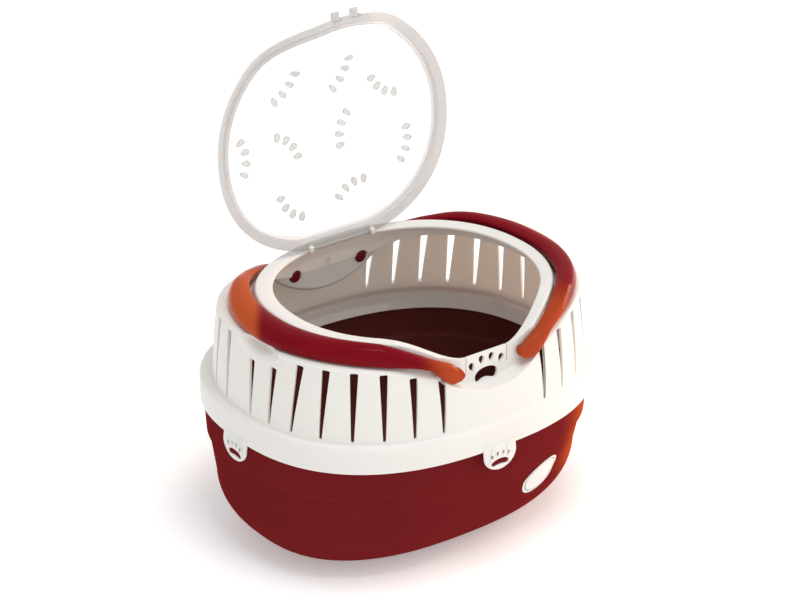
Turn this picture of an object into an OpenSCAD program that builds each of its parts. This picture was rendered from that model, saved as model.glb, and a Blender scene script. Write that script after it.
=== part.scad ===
// Small-animal keeper: a deep tub, a slatted white shell that clips over it, two swinging handles and a clear
// hinged lid, drawn open. X runs along the length, the latch faces -Y, the lid hinge is at +Y and Z is up.
// The origin is the centre of the flat base, on the surface the keeper stands on.

/* [Overall] */
// Length over the band that runs round the middle
band_length = 300; // [240:1:360]
// Width over the band, from latch side to hinge side
band_width = 257; // [210:1:300]
// Wall thickness of the moulded shell and tub
wall = 2.2; // [1.6:0.1:3]
// Squareness of the oval outlines, 2 is a true ellipse
squareness = 2.45; // [2:0.05:3]
// Number of straight steps round each oval
steps = 96; // [48:8:128]

/* [Tub] */
// Length of the flat the tub stands on
base_length = 188; // [120:1:230]
// Width of the flat the tub stands on
base_width = 108; // [70:1:160]
// Height at which the rounded bottom turns into the side wall
belly_height = 50; // [30:1:65]
// Length of the tub at that height
belly_length = 288; // [230:1:330]
// Width of the tub at that height
belly_width = 215; // [170:1:250]
// Height of the small step below the clips
collar_height = 80; // [72:1:84]
// How far the collar stands out from the side wall on the long sides
collar_step = 3.6; // [1:0.1:5]
// Height of the top edge of the tub
tub_height = 115; // [112:0.5:118]

/* [Band] */
// Height of the lower edge of the band
band_bottom = 105; // [102:0.5:108]
// Height of the crease at the top of the band
band_top = 125; // [122:0.5:130]
// Free space between the tub rim and the band
rim_clearance = 0.4; // [0.3:0.05:1]

/* [Slatted wall] */
// Number of slots on each side of the front face and of each end
slots_per_quarter = 7; // [4:1:8]
// Distance between slots along the wall
slot_pitch = 22.8; // [18:0.1:30]
// Distance from the middle of the front to the first slot
front_slot_offset = 46.5; // [40:0.5:60]
// Distance from the middle of the back to the first slot
rear_slot_offset = 54.2; // [40:0.5:70]
// Width of a slot at its upper end
slot_top_width = 8.4; // [4:0.1:10]
// Width of a slot at its lower end
slot_bottom_width = 3; // [2:0.1:5]
// Height of the lower end of the slots
slot_bottom = 128.5; // [127:0.5:140]

/* [Opening] */
// Height of the flat rim round the opening
rim_height = 198.6; // [190:0.2:206]
// How far the rim dips in the middle of the front
front_dip = 21.1; // [5:0.1:28]
// Half length of the opening
opening_half_length = 102.3; // [80:0.1:110]
// Half length of the flat rim
rim_half_length = 114.5; // [90:0.1:122]

/* [Handle pockets] */
// Radius of the round pockets the handle arms swing in
pocket_radius = 71; // [66:0.5:74]
// Height of the centre of the pockets
pocket_centre = 224.3; // [220:0.1:230]
// Distance of the front pocket floor from the middle
front_floor = 110.9; // [108:0.1:114]
// Distance of the rear pocket floor from the middle
rear_floor = 93; // [90:0.1:96]

/* [Handles] */
// Distance of each handle pivot from the middle
pivot_x = 31.5; // [29:0.1:36]
// Height of the handle pivots
pivot_z = 170.5; // [168:0.1:174]
// Width of the handle at the grip
grip_width = 20; // [12:0.5:20]
// Thickness of the flat arms beside the pivots
arm_thickness = 7.5; // [5:0.1:8]
// Radius of the rounded arm tips
tip_radius = 5; // [4:0.1:5.5]
// Space between an arm and the pocket floor
arm_clearance = 0.6; // [0.3:0.05:1.5]
// Radius of the pivot pin shafts
pin_radius = 3; // [2:0.1:4]
// Running clearance of a pin in its hole
pin_clearance = 0.08; // [0.02:0.01:0.1]
// Radius of the round pin heads
pin_head_radius = 5.2; // [4:0.1:5.5]
// Thickness of the pin heads
pin_head_thickness = 1.8; // [1:0.1:2.5]
// Depth of the pin in the arm
pin_depth = 4.5; // [3:0.1:6]

/* [Lid] */
// Angle the lid is drawn open
lid_open_angle = 94.5; // [0:0.5:95]
// Distance of the lid hinge behind the middle
hinge_y = 72; // [66:0.1:74]
// Height of the lid hinge above the rim
hinge_rise = 1.6; // [1.2:0.1:3]
// Half width of the hinge barrel
barrel_half_width = 26.6; // [18:0.1:30]
// Radius of the hinge barrel
barrel_radius = 2; // [1.6:0.1:2.4]
// Radius of the hinge stubs
stub_radius = 1.2; // [0.8:0.05:1.5]
// Width of each hinge ear
ear_width = 4; // [3:0.1:6]
// Space between the closed lid and the rim
lid_gap = 0.4; // [0.3:0.05:1]
// Thickness of the clear sheet
lid_sheet = 1.8; // [1.4:0.1:2.5]
// Half length of the lid
lid_half_length = 107; // [90:0.1:112]
// Width of the flat border of the lid
lid_border = 9; // [5:0.5:14]
// How far the middle of the lid stands above its border
lid_rise = 8.2; // [4:0.1:12]
// Half length of an air vent toe
vent_half_length = 3.1; // [2:0.1:4]
// Half width of an air vent toe
vent_half_width = 1.9; // [1:0.1:3]

/* [Latch] */
// Half width of the springy tongue
tongue_half_width = 18.6; // [14:0.1:22]
// Width of the slits beside the tongue
slit_width = 0.6; // [0.4:0.05:1.2]
// Height of the line the tongue bends about
tongue_root = 165.4; // [163:0.1:168]
// Free space round a bending root
root_clearance = 0.4; // [0.3:0.05:0.8]

/* [Clips] */
// Half width of each clip
clip_half_width = 15; // [10:0.5:18]
// Height of the lower end of each clip
clip_bottom = 87; // [84:0.5:92]
// Height of the line a clip bends about
clip_root = 110; // [108:0.1:111]
// How far a clip stands out from the band
clip_proud = 1.1; // [0.9:0.1:2]
// Height of the middle of the catch lug
lug_height = 92.4; // [91:0.1:95]

/* [Name label] */
// Distance of the label from the middle, along X
label_x = 52; // [20:1:90]
// Height of the label
label_z = 50; // [40:1:60]
// Half length of the label
label_half_length = 20; // [10:0.5:24]
// Half height of the label
label_half_height = 11; // [6:0.5:13]
// Slant of the label
label_angle = 20; // [-30:1:30]

/* [Hidden] */
band_a = band_length / 2;
band_b = band_width / 2;
half_wall = wall / 2;
lining_radius = pocket_radius + wall;
front_lining = front_floor - wall;
rear_lining = rear_floor - wall;
rim_middle = -11.4;
rim_front = 107.5;
rim_rear = 98.5;
opening_middle = -15.6;
opening_front = 94.6;
opening_rear = 91.2;
riser_half_length = rim_half_length + 1;
riser_front = rim_front + 0.2;
riser_rear = rear_floor - rim_middle;
foot_a = band_a - 5.5;
foot_b = band_b - 6.5;
foot_middle = -4;
top_a = band_a - 9;
top_b = band_b - 12.5;
top_middle = -5;
wall_squareness = 2.35;
shelf_rise = 2;
hinge_z = rim_height + hinge_rise;
stub_length = ear_width - 0.4;
stub_clearance = 0.08;
ear_front = 2.4;
pin_pad_radius = 8;
pin_recess_radius = pin_head_radius + 0.3;
lid_front = front_floor + 2.3 + opening_middle;
lid_rear = opening_rear - 0.2;
lid_straight = hinge_y;
vent_step = 19.2;
vent_radius = 27;
tongue_y = -(front_floor + front_lining) / 2;
clip_x = band_a + clip_proud - half_wall;
clip_y = band_b + clip_proud - half_wall;
pin_gap = 0.3;
tub_red = "#7a1f1c";
shell_white = "#f2f0ec";
handle_red = "#8c1a22";
lid_clear = "#e8ecee";

// Power that keeps the sign of its base
function signed_power(v, e) = sign(v) * pow(abs(v), e);
// Point of an oval whose front and back halves may differ: half length, front and rear half widths, middle
function oval(a, front, rear, middle, n_front, n_rear, t) =
    sin(t) < 0
        ? [a * signed_power(cos(t), 2 / n_front), middle + front * signed_power(sin(t), 2 / n_front)]
        : [a * signed_power(cos(t), 2 / n_rear), middle + rear * signed_power(sin(t), 2 / n_rear)];
function even_oval(a, b, middle, n, t) = oval(a, b, b, middle, n, n, t);
function smooth(f) = let (g = min(max(f, 0), 1)) g * g * (3 - 2 * g);
function rim_oval(grow, t) =
    oval(rim_half_length + grow, rim_front + grow, rim_rear + grow, rim_middle, 2, 2.3, t);
function opening_oval(grow, t) =
    oval(opening_half_length + grow, opening_front + grow, opening_rear + grow, opening_middle, 2, 2.3, t);
function riser_oval(grow, t) =
    oval(riser_half_length + grow, riser_front + grow, riser_rear + grow, rim_middle, 2, 2.3, t);
// Drop of the rim at a point: only the front half dips, towards the middle
function dip(p) = p[1] < rim_middle ? front_dip * (1 - smooth((abs(p[0]) - 18) / 58)) : 0;
function wall_top(t) = 178 + 7.3 * cos(2 * t);
function pocket_edge(x, r) = pocket_centre - sqrt(max(r * r - x * x, 0));
function at(p, z) = [p[0], p[1], z];
function angles() = [for (i = [0:steps - 1]) 360 * i / steps];

// Solid between closed rings of equal count; the first and last rings are flat
module loft(rings) {
    n = len(rings[0]);
    points = [for (ring = rings) each ring];
    last = (len(rings) - 1) * n;
    sides = [for (k = [0:len(rings) - 2]) for (i = [0:n - 1]) let (a = k * n + i, b = k * n + (i + 1) % n)
        each [[a, a + n, b], [b, a + n, b + n]]];
    bottom = [for (i = [0:n - 1]) i];
    top = [for (i = [n - 1:-1:0]) last + i];
    polyhedron(points = points, faces = concat([bottom], sides, [top]), convexity = 10);
}

// Upper shell
function band_ring(a, b, z) = [for (t = angles()) at(even_oval(a, b, 0, squareness, t), z)];
function wall_mid(t, inset) =
    at(even_oval((foot_a + top_a) / 2 + 0.7 - inset, (foot_b + top_b) / 2 + 0.9 - inset,
        (foot_middle + top_middle) / 2, wall_squareness, t), 152);
function wall_top_point(t, inset, lift) =
    at(even_oval(top_a - inset, top_b - inset, top_middle, wall_squareness, t), wall_top(t) + lift);

// The riser between shelf and rim stands upright for its lower part
function riser_mid(t, rim) = let (low = wall_top(t) + shelf_rise) low + 0.36 * (rim - low);

module shell_outside() {
    loft([
        band_ring(band_a, band_b - 0.4, band_bottom),
        band_ring(band_a, band_b, band_top - 1),
        band_ring(band_a - 0.9, band_b - 0.9, band_top + 0.8),
        [for (t = angles()) at(even_oval(foot_a, foot_b, foot_middle, wall_squareness, t), band_top + 2)],
        [for (t = angles()) wall_mid(t, 0)],
        [for (t = angles()) wall_top_point(t, 0, 0)],
        [for (t = angles()) wall_top_point(t, 1.6, shelf_rise - 0.4)],
        [for (t = angles()) at(riser_oval(0, t), wall_top(t) + shelf_rise)],
        [for (t = angles()) let (p = rim_oval(0, t)) at(riser_oval(0, t), riser_mid(t, rim_height - dip(p) - 1))],
        [for (t = angles()) let (p = rim_oval(0, t)) at(p, rim_height - dip(p) - 1)],
        [for (t = angles()) let (p = rim_oval(-1, t)) at(p, rim_height - dip(p))],
        [for (t = angles()) let (p = opening_oval(-3, t)) at(p, rim_height - dip(p))],
        [for (t = angles()) at(opening_oval(-6, t), rim_height - front_dip - 8)]
    ]);
}

module shell_cavity() {
    loft([
        band_ring(band_a - wall, band_b - wall, band_bottom - 1),
        band_ring(band_a - wall, band_b - wall, tub_height),
        band_ring(band_a - 2.2 * wall, band_b - 2.2 * wall, tub_height + 0.01),
        [for (t = angles())
            at(even_oval(foot_a - wall, foot_b - wall, foot_middle, wall_squareness, t), band_top - 1)],
        [for (t = angles()) wall_mid(t, wall)],
        [for (t = angles()) wall_top_point(t, wall, -0.6)],
        [for (t = angles()) at(riser_oval(-wall, t), wall_top(t) + shelf_rise - wall)],
        [for (t = angles()) let (p = rim_oval(0, t))
            at(riser_oval(-wall, t), riser_mid(t, rim_height - dip(p) - 1) - wall)],
        [for (t = angles()) let (p = rim_oval(-wall, t)) at(p, rim_height - dip(p) - wall - 0.2)],
        [for (t = angles()) let (p = opening_oval(0, t)) at(p, rim_height - dip(p) - wall)],
        [for (t = angles()) at(opening_oval(0, t), rim_height + 20)]
    ]);
}

// Round slab across the keeper, from one Y to another
module round_slab(radius, y_low, y_high) {
    translate([0, y_high, pocket_centre])
        rotate([90, 0, 0])
            cylinder(h = y_high - y_low, r = radius, $fn = 96);
}

module hinge_ear(side) {
    translate([side * (barrel_half_width + 0.4 + ear_width / 2) - ear_width / 2, hinge_y - ear_front,
        rim_height - wall])
        cube([ear_width, ear_front + 6, hinge_z + 2.4 - rim_height + wall]);
}

module hinge_bore() {
    translate([-40, hinge_y, hinge_z])
        rotate([0, 90, 0])
            cylinder(h = 80, r = stub_radius + stub_clearance, $fn = 32);
}

// Flat pad round a rear pin, so that the wall is upright there
module pin_pad(x) {
    translate([x, rear_floor, pivot_z])
        rotate([90, 0, 0])
            cylinder(h = wall, r = pin_pad_radius, $fn = 48);
}

module pin_recess(x) {
    translate([x, rear_lining, pivot_z])
        rotate([90, 0, 0])
            cylinder(h = 8, r = pin_recess_radius, $fn = 48);
}

// Tapered slot cutter: outline in the plane of the wall, wide at the top
module slot_cutter(t) {
    p = even_oval(top_a, top_b, top_middle, wall_squareness, t);
    q = even_oval(foot_a, foot_b, foot_middle, wall_squareness, t);
    d = even_oval(top_a, top_b, top_middle, wall_squareness, t + 0.5);
    heading = atan2(d[1] - p[1], d[0] - p[0]);
    height = wall_top(t) - 1.2 - slot_bottom;
    r = slot_bottom_width / 2;
    translate([(p[0] + q[0]) / 2, (p[1] + q[1]) / 2, slot_bottom])
        rotate([90, 0, heading])
            translate([0, 0, -9])
                linear_extrude(height = 18)
                    polygon([
                        [-r * 0.5, 0],
                        [r * 0.5, 0],
                        [r, r],
                        [slot_top_width / 2, height],
                        [-slot_top_width / 2, height],
                        [-r, r]
                    ]);
}

// Length along the top of the wall from the middle of the front, in whole degrees of the oval angle
function wall_point(t) = even_oval(foot_a, foot_b, foot_middle, wall_squareness, t);
function walk(t, step, left) =
    let (p = wall_point(t), q = wall_point(t + step), d = norm(q - p))
    left <= d ? t + step * left / d : walk(t + step, step, left - d);
front_slots = [for (k = [0:slots_per_quarter]) walk(270, 0.5, front_slot_offset + k * slot_pitch)];
rear_slots = [for (k = [0:slots_per_quarter]) walk(90, -0.5, rear_slot_offset + k * slot_pitch)];
slot_angles = concat(
    [for (t = front_slots) t],
    [for (t = rear_slots) if (t > front_slots[slots_per_quarter] - 360 + 7) t]
);

module kidney(half_width, half_height) {
    polygon([for (a = [0:20:340])
        sin(a) >= 0
            ? [half_width * cos(a), half_height * sin(a)]
            : [half_width * cos(a), half_height * sin(a) * (1 - 0.72 * sin(a) * sin(a))]]);
}

module toe(half_width, half_height) {
    polygon([for (a = [0:30:330]) [half_width * cos(a), half_height * sin(a)]]);
}

// Paw figure standing in the XZ plane, cut from y_low to y_high
module paw_toes(spread, lift, half_width, half_height) {
    for (k = [-1.5:1:1.5])
        translate([k * spread, lift - abs(k) * abs(k) * half_height * 0.45])
            rotate([0, 0, -k * 12])
                toe(half_width, half_height);
}

module tongue_block(grow) {
    translate([-tongue_half_width - grow, -front_floor - 3, tongue_root])
        cube([2 * (tongue_half_width + grow), wall + 6, 40]);
    translate([-tongue_half_width - grow, tongue_y, tongue_root])
        rotate([0, 90, 0])
            cylinder(h = 2 * (tongue_half_width + grow), r = half_wall + (grow > 0 ? root_clearance : 0), $fn = 32);
}

module shell_solid() {
    difference() {
        shell_outside();
        round_slab(pocket_radius, -200, -front_floor);
        round_slab(pocket_radius, rear_floor, 200);
        difference() {
            shell_cavity();
            round_slab(lining_radius, -200, -front_lining);
            round_slab(lining_radius, rear_lining, 200);
        }
    }
}

// Plate of a clip in the XZ plane: straight sides, round bottom and a hinge line at the top
module clip_outline(grow) {
    drop = clip_root - clip_bottom;
    polygon(concat(
        [[clip_half_width + grow, 0]],
        [[-clip_half_width - grow, 0]],
        [for (a = [180:15:360])
            [(clip_half_width + grow) * cos(a), -drop * 0.42 + (drop * 0.58 + grow) * sin(a)]]
    ));
}

module clip_seat(turn, reach) {
    rotate([0, 0, turn])
        translate([0, -reach, clip_root]) {
            translate([-clip_half_width - root_clearance, 0, 0])
                rotate([0, 90, 0])
                    cylinder(h = 2 * (clip_half_width + root_clearance), r = half_wall + root_clearance, $fn = 32);
            translate([-clip_half_width - root_clearance, -3, band_bottom - clip_root - 3])
                cube([2 * (clip_half_width + root_clearance), 6, clip_root - band_bottom + 3]);
        }
}

module clip_shape(turn, reach) {
    color(shell_white)
        rotate([0, 0, turn])
            translate([0, -reach, clip_root])
                difference() {
                    union() {
                        translate([0, half_wall, 0])
                            rotate([90, 0, 0])
                                linear_extrude(height = wall)
                                    clip_outline(0);
                        translate([-clip_half_width, 0, 0])
                            rotate([0, 90, 0])
                                cylinder(h = 2 * clip_half_width, r = half_wall, $fn = 32);
                    }
                    translate([0, 5, 0])
                        rotate([90, 0, 0])
                            linear_extrude(height = 10) {
                                translate([0, lug_height - clip_root])
                                    kidney(8, 3.6);
                                translate([0, lug_height - clip_root])
                                    paw_toes(5, 8.2, 1, 1.7);
                            }
                }
}

module upper_shell() {
    color(shell_white)
        difference() {
            union() {
                shell_solid();
                hinge_ear(-1);
                hinge_ear(1);
                pin_pad(-pivot_x);
                pin_pad(pivot_x);
            }
            pin_recess(-pivot_x);
            pin_recess(pivot_x);
            for (t = slot_angles) {
                slot_cutter(t);
                slot_cutter(180 - t);
            }
            tongue_block(slit_width);
            translate([0, -front_floor + 10, 159.2])
                rotate([90, 0, 0])
                    linear_extrude(height = 20)
                        kidney(10.4, 4.4);
            for (side = [-1, 1]) {
                translate([side * pivot_x, -front_floor + 10, pivot_z])
                    rotate([90, 0, 0])
                        cylinder(h = 20, r = pin_radius + pin_clearance, $fn = 48);
                translate([side * pivot_x, rear_floor + 10, pivot_z])
                    rotate([90, 0, 0])
                        cylinder(h = 20, r = pin_radius + pin_clearance, $fn = 48);
            }
            hinge_bore();
            translate([-barrel_half_width - 0.4, hinge_y - 8, rim_height - 5])
                cube([2 * barrel_half_width + 0.8, 8 + barrel_radius + 0.6, 20]);
            clip_seat(0, clip_y);
            clip_seat(180, clip_y);
            clip_seat(90, clip_x);
            clip_seat(270, clip_x);
        }
}

module latch_tongue() {
    color(shell_white)
        difference() {
            intersection() {
                shell_solid();
                tongue_block(0);
            }
            translate([0, -front_floor + 10, 165.8])
                rotate([90, 0, 0])
                    linear_extrude(height = 20)
                        paw_toes(9, 6.4, 1.5, 2.5);
        }
}

module front_clip() {
    clip_shape(0, clip_y);
}

module rear_clip() {
    clip_shape(180, clip_y);
}

module right_clip() {
    clip_shape(90, clip_x);
}

module left_clip() {
    clip_shape(270, clip_x);
}

// Tub
function tub_profile(grow) = concat(
    [for (f = [0:15:90]) [
        base_length / 2 + (belly_length - base_length) / 2 * sin(f) + grow,
        base_width / 2 + (belly_width - base_width) / 2 * sin(f) + grow,
        belly_height * (1 - cos(f))]],
    [
        [band_a - 4 + grow, band_b - 9.5 - collar_step - 0.4 + grow, collar_height - 7],
        [band_a - 3.8 + grow, band_b - 9 - collar_step + grow, collar_height - 2],
        [band_a - 2 + grow, band_b - 9 + grow, collar_height],
        [band_a - 1.4 + grow, band_b - 6.5 + grow, band_bottom - 5],
        [band_a - 1.4 + grow, band_b - 6.2 + grow, band_bottom - 1.2],
        [band_a - wall - rim_clearance + grow, band_b - 5 + grow, band_bottom - 0.3],
        [band_a - wall - rim_clearance + grow, band_b - wall - rim_clearance + grow, band_bottom + 3],
        [band_a - wall - rim_clearance + grow, band_b - wall - rim_clearance + grow, tub_height]
    ]
);

module tub_outside(grow) {
    loft([for (s = tub_profile(grow)) band_ring(s[0], s[1], s[2])]);
}

module tub_inside() {
    profile = tub_profile(-wall);
    n = len(profile);
    loft([for (k = [0:n - 1]) let (s = profile[k], low = wall * cos(min(k * 15, 90)))
        band_ring(s[0], s[1], s[2] + (k == n - 1 ? 1 : low))]);
}

module lug(turn, reach, depth) {
    rotate([0, 0, turn])
        translate([0, -reach + half_wall + depth, lug_height])
            rotate([90, 0, 0])
                linear_extrude(height = depth + wall * 0.6)
                    translate([0, 0.2])
                        kidney(7.5, 2.95);
}

module tub() {
    color(tub_red)
        union() {
            difference() {
                tub_outside(0);
                tub_inside();
            }
            lug(0, clip_y, 7);
            lug(180, clip_y, 7);
            lug(90, clip_x, 1.6);
            lug(270, clip_x, 1.6);
        }
}

module name_label() {
    color("#f4f2ee")
        intersection() {
            difference() {
                tub_outside(0.4);
                tub_outside(0.05);
            }
            translate([label_x, -80, label_z])
                rotate([90, 0, 22])
                    linear_extrude(height = 60)
                        rotate([0, 0, label_angle])
                            polygon([for (a = [0:15:345]) [label_half_length * cos(a), label_half_height * sin(a)]]);
        }
}

// Handles: a run of sections from the front tip, round the end, to the rear tip
handle_a = rim_half_length + 3.9;
handle_front = rim_front + 2.6;
handle_rear = rear_floor + arm_clearance - rim_middle;
front_limit = front_floor + 2.4;
front_arm = -(front_floor + 1.9);
rear_arm = rear_floor + arm_clearance;
soft = 2.5;
straight_end = 42;
curve_start = 78;

function rear_oval_y(x) = rim_middle + handle_rear * pow(1 - pow(x / handle_a, 2.3), 1 / 2.3);
curve_y = rear_oval_y(curve_start);
curve_slope = rear_oval_y(curve_start + 0.5) - rear_oval_y(curve_start - 0.5);
// The rear arm is straight beside the pocket floor and then bends into the oval
function rear_path_y(x) =
    x <= straight_end ? rear_arm
    : x >= curve_start ? rear_oval_y(x)
    : let (run = curve_start - straight_end, f = (x - straight_end) / run)
        rear_arm * (2 * f * f * f - 3 * f * f + 1) + curve_y * (3 * f * f - 2 * f * f * f)
        + run * curve_slope * (f * f * f - f * f);
function softly_limited(p) =
    p[1] < rim_middle
        ? [p[0], soft * ln(exp(p[1] / soft) + exp(-front_limit / soft))]
        : [p[0], rear_path_y(p[0])];
function handle_path(t) = softly_limited(oval(handle_a, handle_front, handle_rear, rim_middle, 2, 2.3, t));
function handle_low(t, x) =
    let (rest = wall_top(t) + shelf_rise + 0.9)
    t < 0
        ? max(pivot_z - tip_radius, min(rest, x < lining_radius ? pocket_edge(x, pocket_radius) + 0.8 : rest))
        : let (f = smooth((x - pivot_x - 1) / (straight_end - pivot_x)))
            (pivot_z - tip_radius) * (1 - f) + rest * f;
function handle_top(t, x) =
    t < 0
        ? rim_height - 0.4 - 23 * pow(min(max((82 - x) / 56, 0), 1), 1.3)
        : rim_height - 0.4 - 22.7 * pow(min(max((96 - x) / 64.5, 0), 1), 1.6);
function handle_width(t) = arm_thickness + (grip_width - arm_thickness) * pow(abs(cos(t)), 3);
function handle_slant(t) = 3 * (1 - smooth((abs(t) - 60) / 12));
// Section: distance outwards from the path, then height
function handle_section(w, low, top, slant) =
    let (h = top - low)
    [
        [slant + 0.4, low + h * 0.12],
        [slant + 1.3, low],
        [w * 0.88, low],
        [w, low + h * 0.2],
        [w * 0.98, low + h * 0.52],
        [w * 0.78, low + h * 0.88],
        [w * 0.42, top],
        [w * 0.12, top - h * 0.04],
        [0, top - h * 0.2]
    ];
function placed_section(p, n, section) = [for (s = section) [p[0] + n[0] * s[0], p[1] + n[1] * s[0], s[1]]];
function outward(t) = let (p = handle_path(t - 0.6), q = handle_path(t + 0.6), d = q - p) [d[1], -d[0]] / norm(d);
function handle_ring(t) =
    let (p = handle_path(t), n = outward(t), w = handle_width(t))
    placed_section(p, n, handle_section(w, handle_low(t, p[0] + n[0] * w), handle_top(t, p[0]), handle_slant(t)));
function tip_ring(a, y, n) =
    placed_section([pivot_x - tip_radius * sin(a), y], [0, n],
        handle_section(arm_thickness, pivot_z - tip_radius * cos(a), pivot_z + tip_radius * cos(a), 0));

module handle_body() {
    loft(concat(
        [for (a = [84:-14:0]) tip_ring(a, front_arm, -1)],
        [for (t = [-72:3:-57]) handle_ring(t)],
        [for (t = [-50:8:46]) handle_ring(t)],
        [for (t = [52:4:72]) handle_ring(t)],
        [for (a = [0:14:84]) tip_ring(a, rear_arm, 1)]
    ));
}

module pin_hole(y_start, direction) {
    translate([pivot_x, y_start, pivot_z])
        rotate([-direction * 90, 0, 0])
            cylinder(h = pin_depth, r = pin_radius, $fn = 48);
}

module right_handle() {
    color(handle_red)
        difference() {
            handle_body();
            pin_hole(front_arm + 0.001, -1);
            pin_hole(rear_arm - 0.001, 1);
        }
}

module left_handle() {
    mirror([1, 0, 0])
        right_handle();
}

// Pin: a domed head inside the shell and a shaft through the wall into the arm
module pin(x, inner, outer, direction) {
    span = abs(outer - inner) + pin_gap + pin_depth - 0.2;
    color(handle_red)
        translate([x, inner - direction * pin_gap, pivot_z])
            rotate([-direction * 90, 0, 0])
                union() {
                    cylinder(h = span, r = pin_radius, $fn = 48);
                    translate([0, 0, -pin_head_thickness])
                        cylinder(h = pin_head_thickness, r1 = pin_head_radius * 0.72, r2 = pin_head_radius, $fn = 48);
                }
}

module front_right_pin() {
    pin(pivot_x, -front_lining, front_arm, -1);
}

module front_left_pin() {
    pin(-pivot_x, -front_lining, front_arm, -1);
}

module rear_right_pin() {
    pin(pivot_x, rear_lining, rear_arm, 1);
}

module rear_left_pin() {
    pin(-pivot_x, rear_lining, rear_arm, 1);
}

// Lid, drawn closed and then turned open about its hinge
paws = [
    [-37.2, -57.5, 41], [14.3, -58.5, 24], [51.8, -38, 127], [12.2, -13.9, -163], [72.5, 12.2, 15],
    [-77.4, -12, -3], [-36.4, -12.9, -43], [-40.1, 39.6, 136], [17.6, 33.8, -112]
];
function lid_oval(inset, t) =
    let (p = oval(lid_half_length - inset, lid_front - inset, lid_rear - inset, opening_middle, 2, 2.3, t))
    [p[0], min(p[1], lid_straight - inset * 0.9)];
function lid_ring(inset, lift, fade, t) =
    let (edge = lid_oval(0, t), p = lid_oval(inset, t))
    at(p, rim_height + lid_gap + lift - fade * dip([edge[0], edge[1]]));
function plate_ring(share, lift, fade, t) =
    let (edge = lid_oval(0, t), p = lid_oval(lid_border + 3, t))
    [p[0] * share, opening_middle + (p[1] - opening_middle) * share,
        rim_height + lid_gap + lift - fade * dip([edge[0], edge[1]])];

module lid_sheet_body() {
    difference() {
        loft([
            [for (t = angles()) plate_ring(0.45, lid_rise + 1.6, 0, t)],
            [for (t = angles()) plate_ring(0.65, lid_rise + 1.4, 0.25, t)],
            [for (t = angles()) plate_ring(0.85, lid_rise + 0.9, 0.75, t)],
            [for (t = angles()) plate_ring(1, lid_rise, 1, t)],
            [for (t = angles()) lid_ring(lid_border + 0.6, lid_rise - 1.6, 1, t)],
            [for (t = angles()) lid_ring(lid_border, 0, 1, t)],
            [for (t = angles()) lid_ring(0, 0, 1, t)],
            [for (t = angles()) lid_ring(0, lid_sheet, 1, t)],
            [for (t = angles()) lid_ring(lid_border - lid_sheet * 0.8, lid_sheet, 1, t)],
            [for (t = angles()) lid_ring(lid_border - lid_sheet + 0.8, lid_rise + 0.2, 1, t)],
            [for (t = angles()) lid_ring(lid_border + 1.2, lid_rise + lid_sheet, 1, t)],
            [for (t = angles()) plate_ring(0.85, lid_rise + 0.9 + lid_sheet, 0.75, t)],
            [for (t = angles()) plate_ring(0.65, lid_rise + 1.4 + lid_sheet, 0.25, t)],
            [for (t = angles()) plate_ring(0.45, lid_rise + 1.6 + lid_sheet, 0, t)]
        ]);
        for (side = [-1, 1])
            translate([side * (barrel_half_width + ear_width / 2 + 0.5) - ear_width / 2 - 0.5,
                hinge_y - ear_front - 1.8, 150])
                cube([ear_width + 1, 20, 100]);
    }
}

module lid_hinge_and_hooks() {
    translate([-barrel_half_width, hinge_y, hinge_z])
        rotate([0, 90, 0])
            cylinder(h = 2 * barrel_half_width, r = barrel_radius, $fn = 32);
    translate([-barrel_half_width - stub_length, hinge_y, hinge_z])
        rotate([0, 90, 0])
            cylinder(h = 2 * (barrel_half_width + stub_length), r = stub_radius, $fn = 32);
    for (side = [-1, 1])
        translate([side * 8.5 - 3.5, 0, rim_height - front_dip + lid_gap]) {
            translate([0, -front_floor - 7, 0])
                cube([7, 8, lid_sheet]);
            translate([0, -front_floor - 2.4, -4])
                cube([7, 1.8, 4.5]);
        }
}

module lid_closed() {
    difference() {
        union() {
            lid_sheet_body();
            lid_hinge_and_hooks();
        }
        for (paw = paws)
            for (k = [-1.5:1:1.5]) {
                turn = paw[2] + k * vent_step;
                translate([
                    paw[0] - vent_radius * 0.97 * cos(paw[2]) + vent_radius * cos(turn),
                    paw[1] - vent_radius * 0.97 * sin(paw[2]) + vent_radius * sin(turn),
                    rim_height - 20
                ])
                    rotate([0, 0, turn])
                        linear_extrude(height = 60)
                            toe(vent_half_length, vent_half_width);
            }
    }
}

module lid() {
    color(lid_clear, 0.5)
        translate([0, hinge_y, hinge_z])
            rotate([-lid_open_angle, 0, 0])
                translate([0, -hinge_y, -hinge_z])
                    lid_closed();
}

tub();
upper_shell();
lid();
left_handle();
right_handle();
front_left_pin();
rear_left_pin();
front_right_pin();
rear_right_pin();
latch_tongue();
front_clip();
rear_clip();
left_clip();
right_clip();
name_label();
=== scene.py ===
"""Looks of the small-animal keeper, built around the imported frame. Shapes are worked out in millimetres."""

import logging
import math
from collections.abc import Callable, Sequence
from dataclasses import dataclass, field, replace
from enum import Enum

import bmesh
import bpy
import numpy as np
from mathutils import Matrix, Vector


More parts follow.
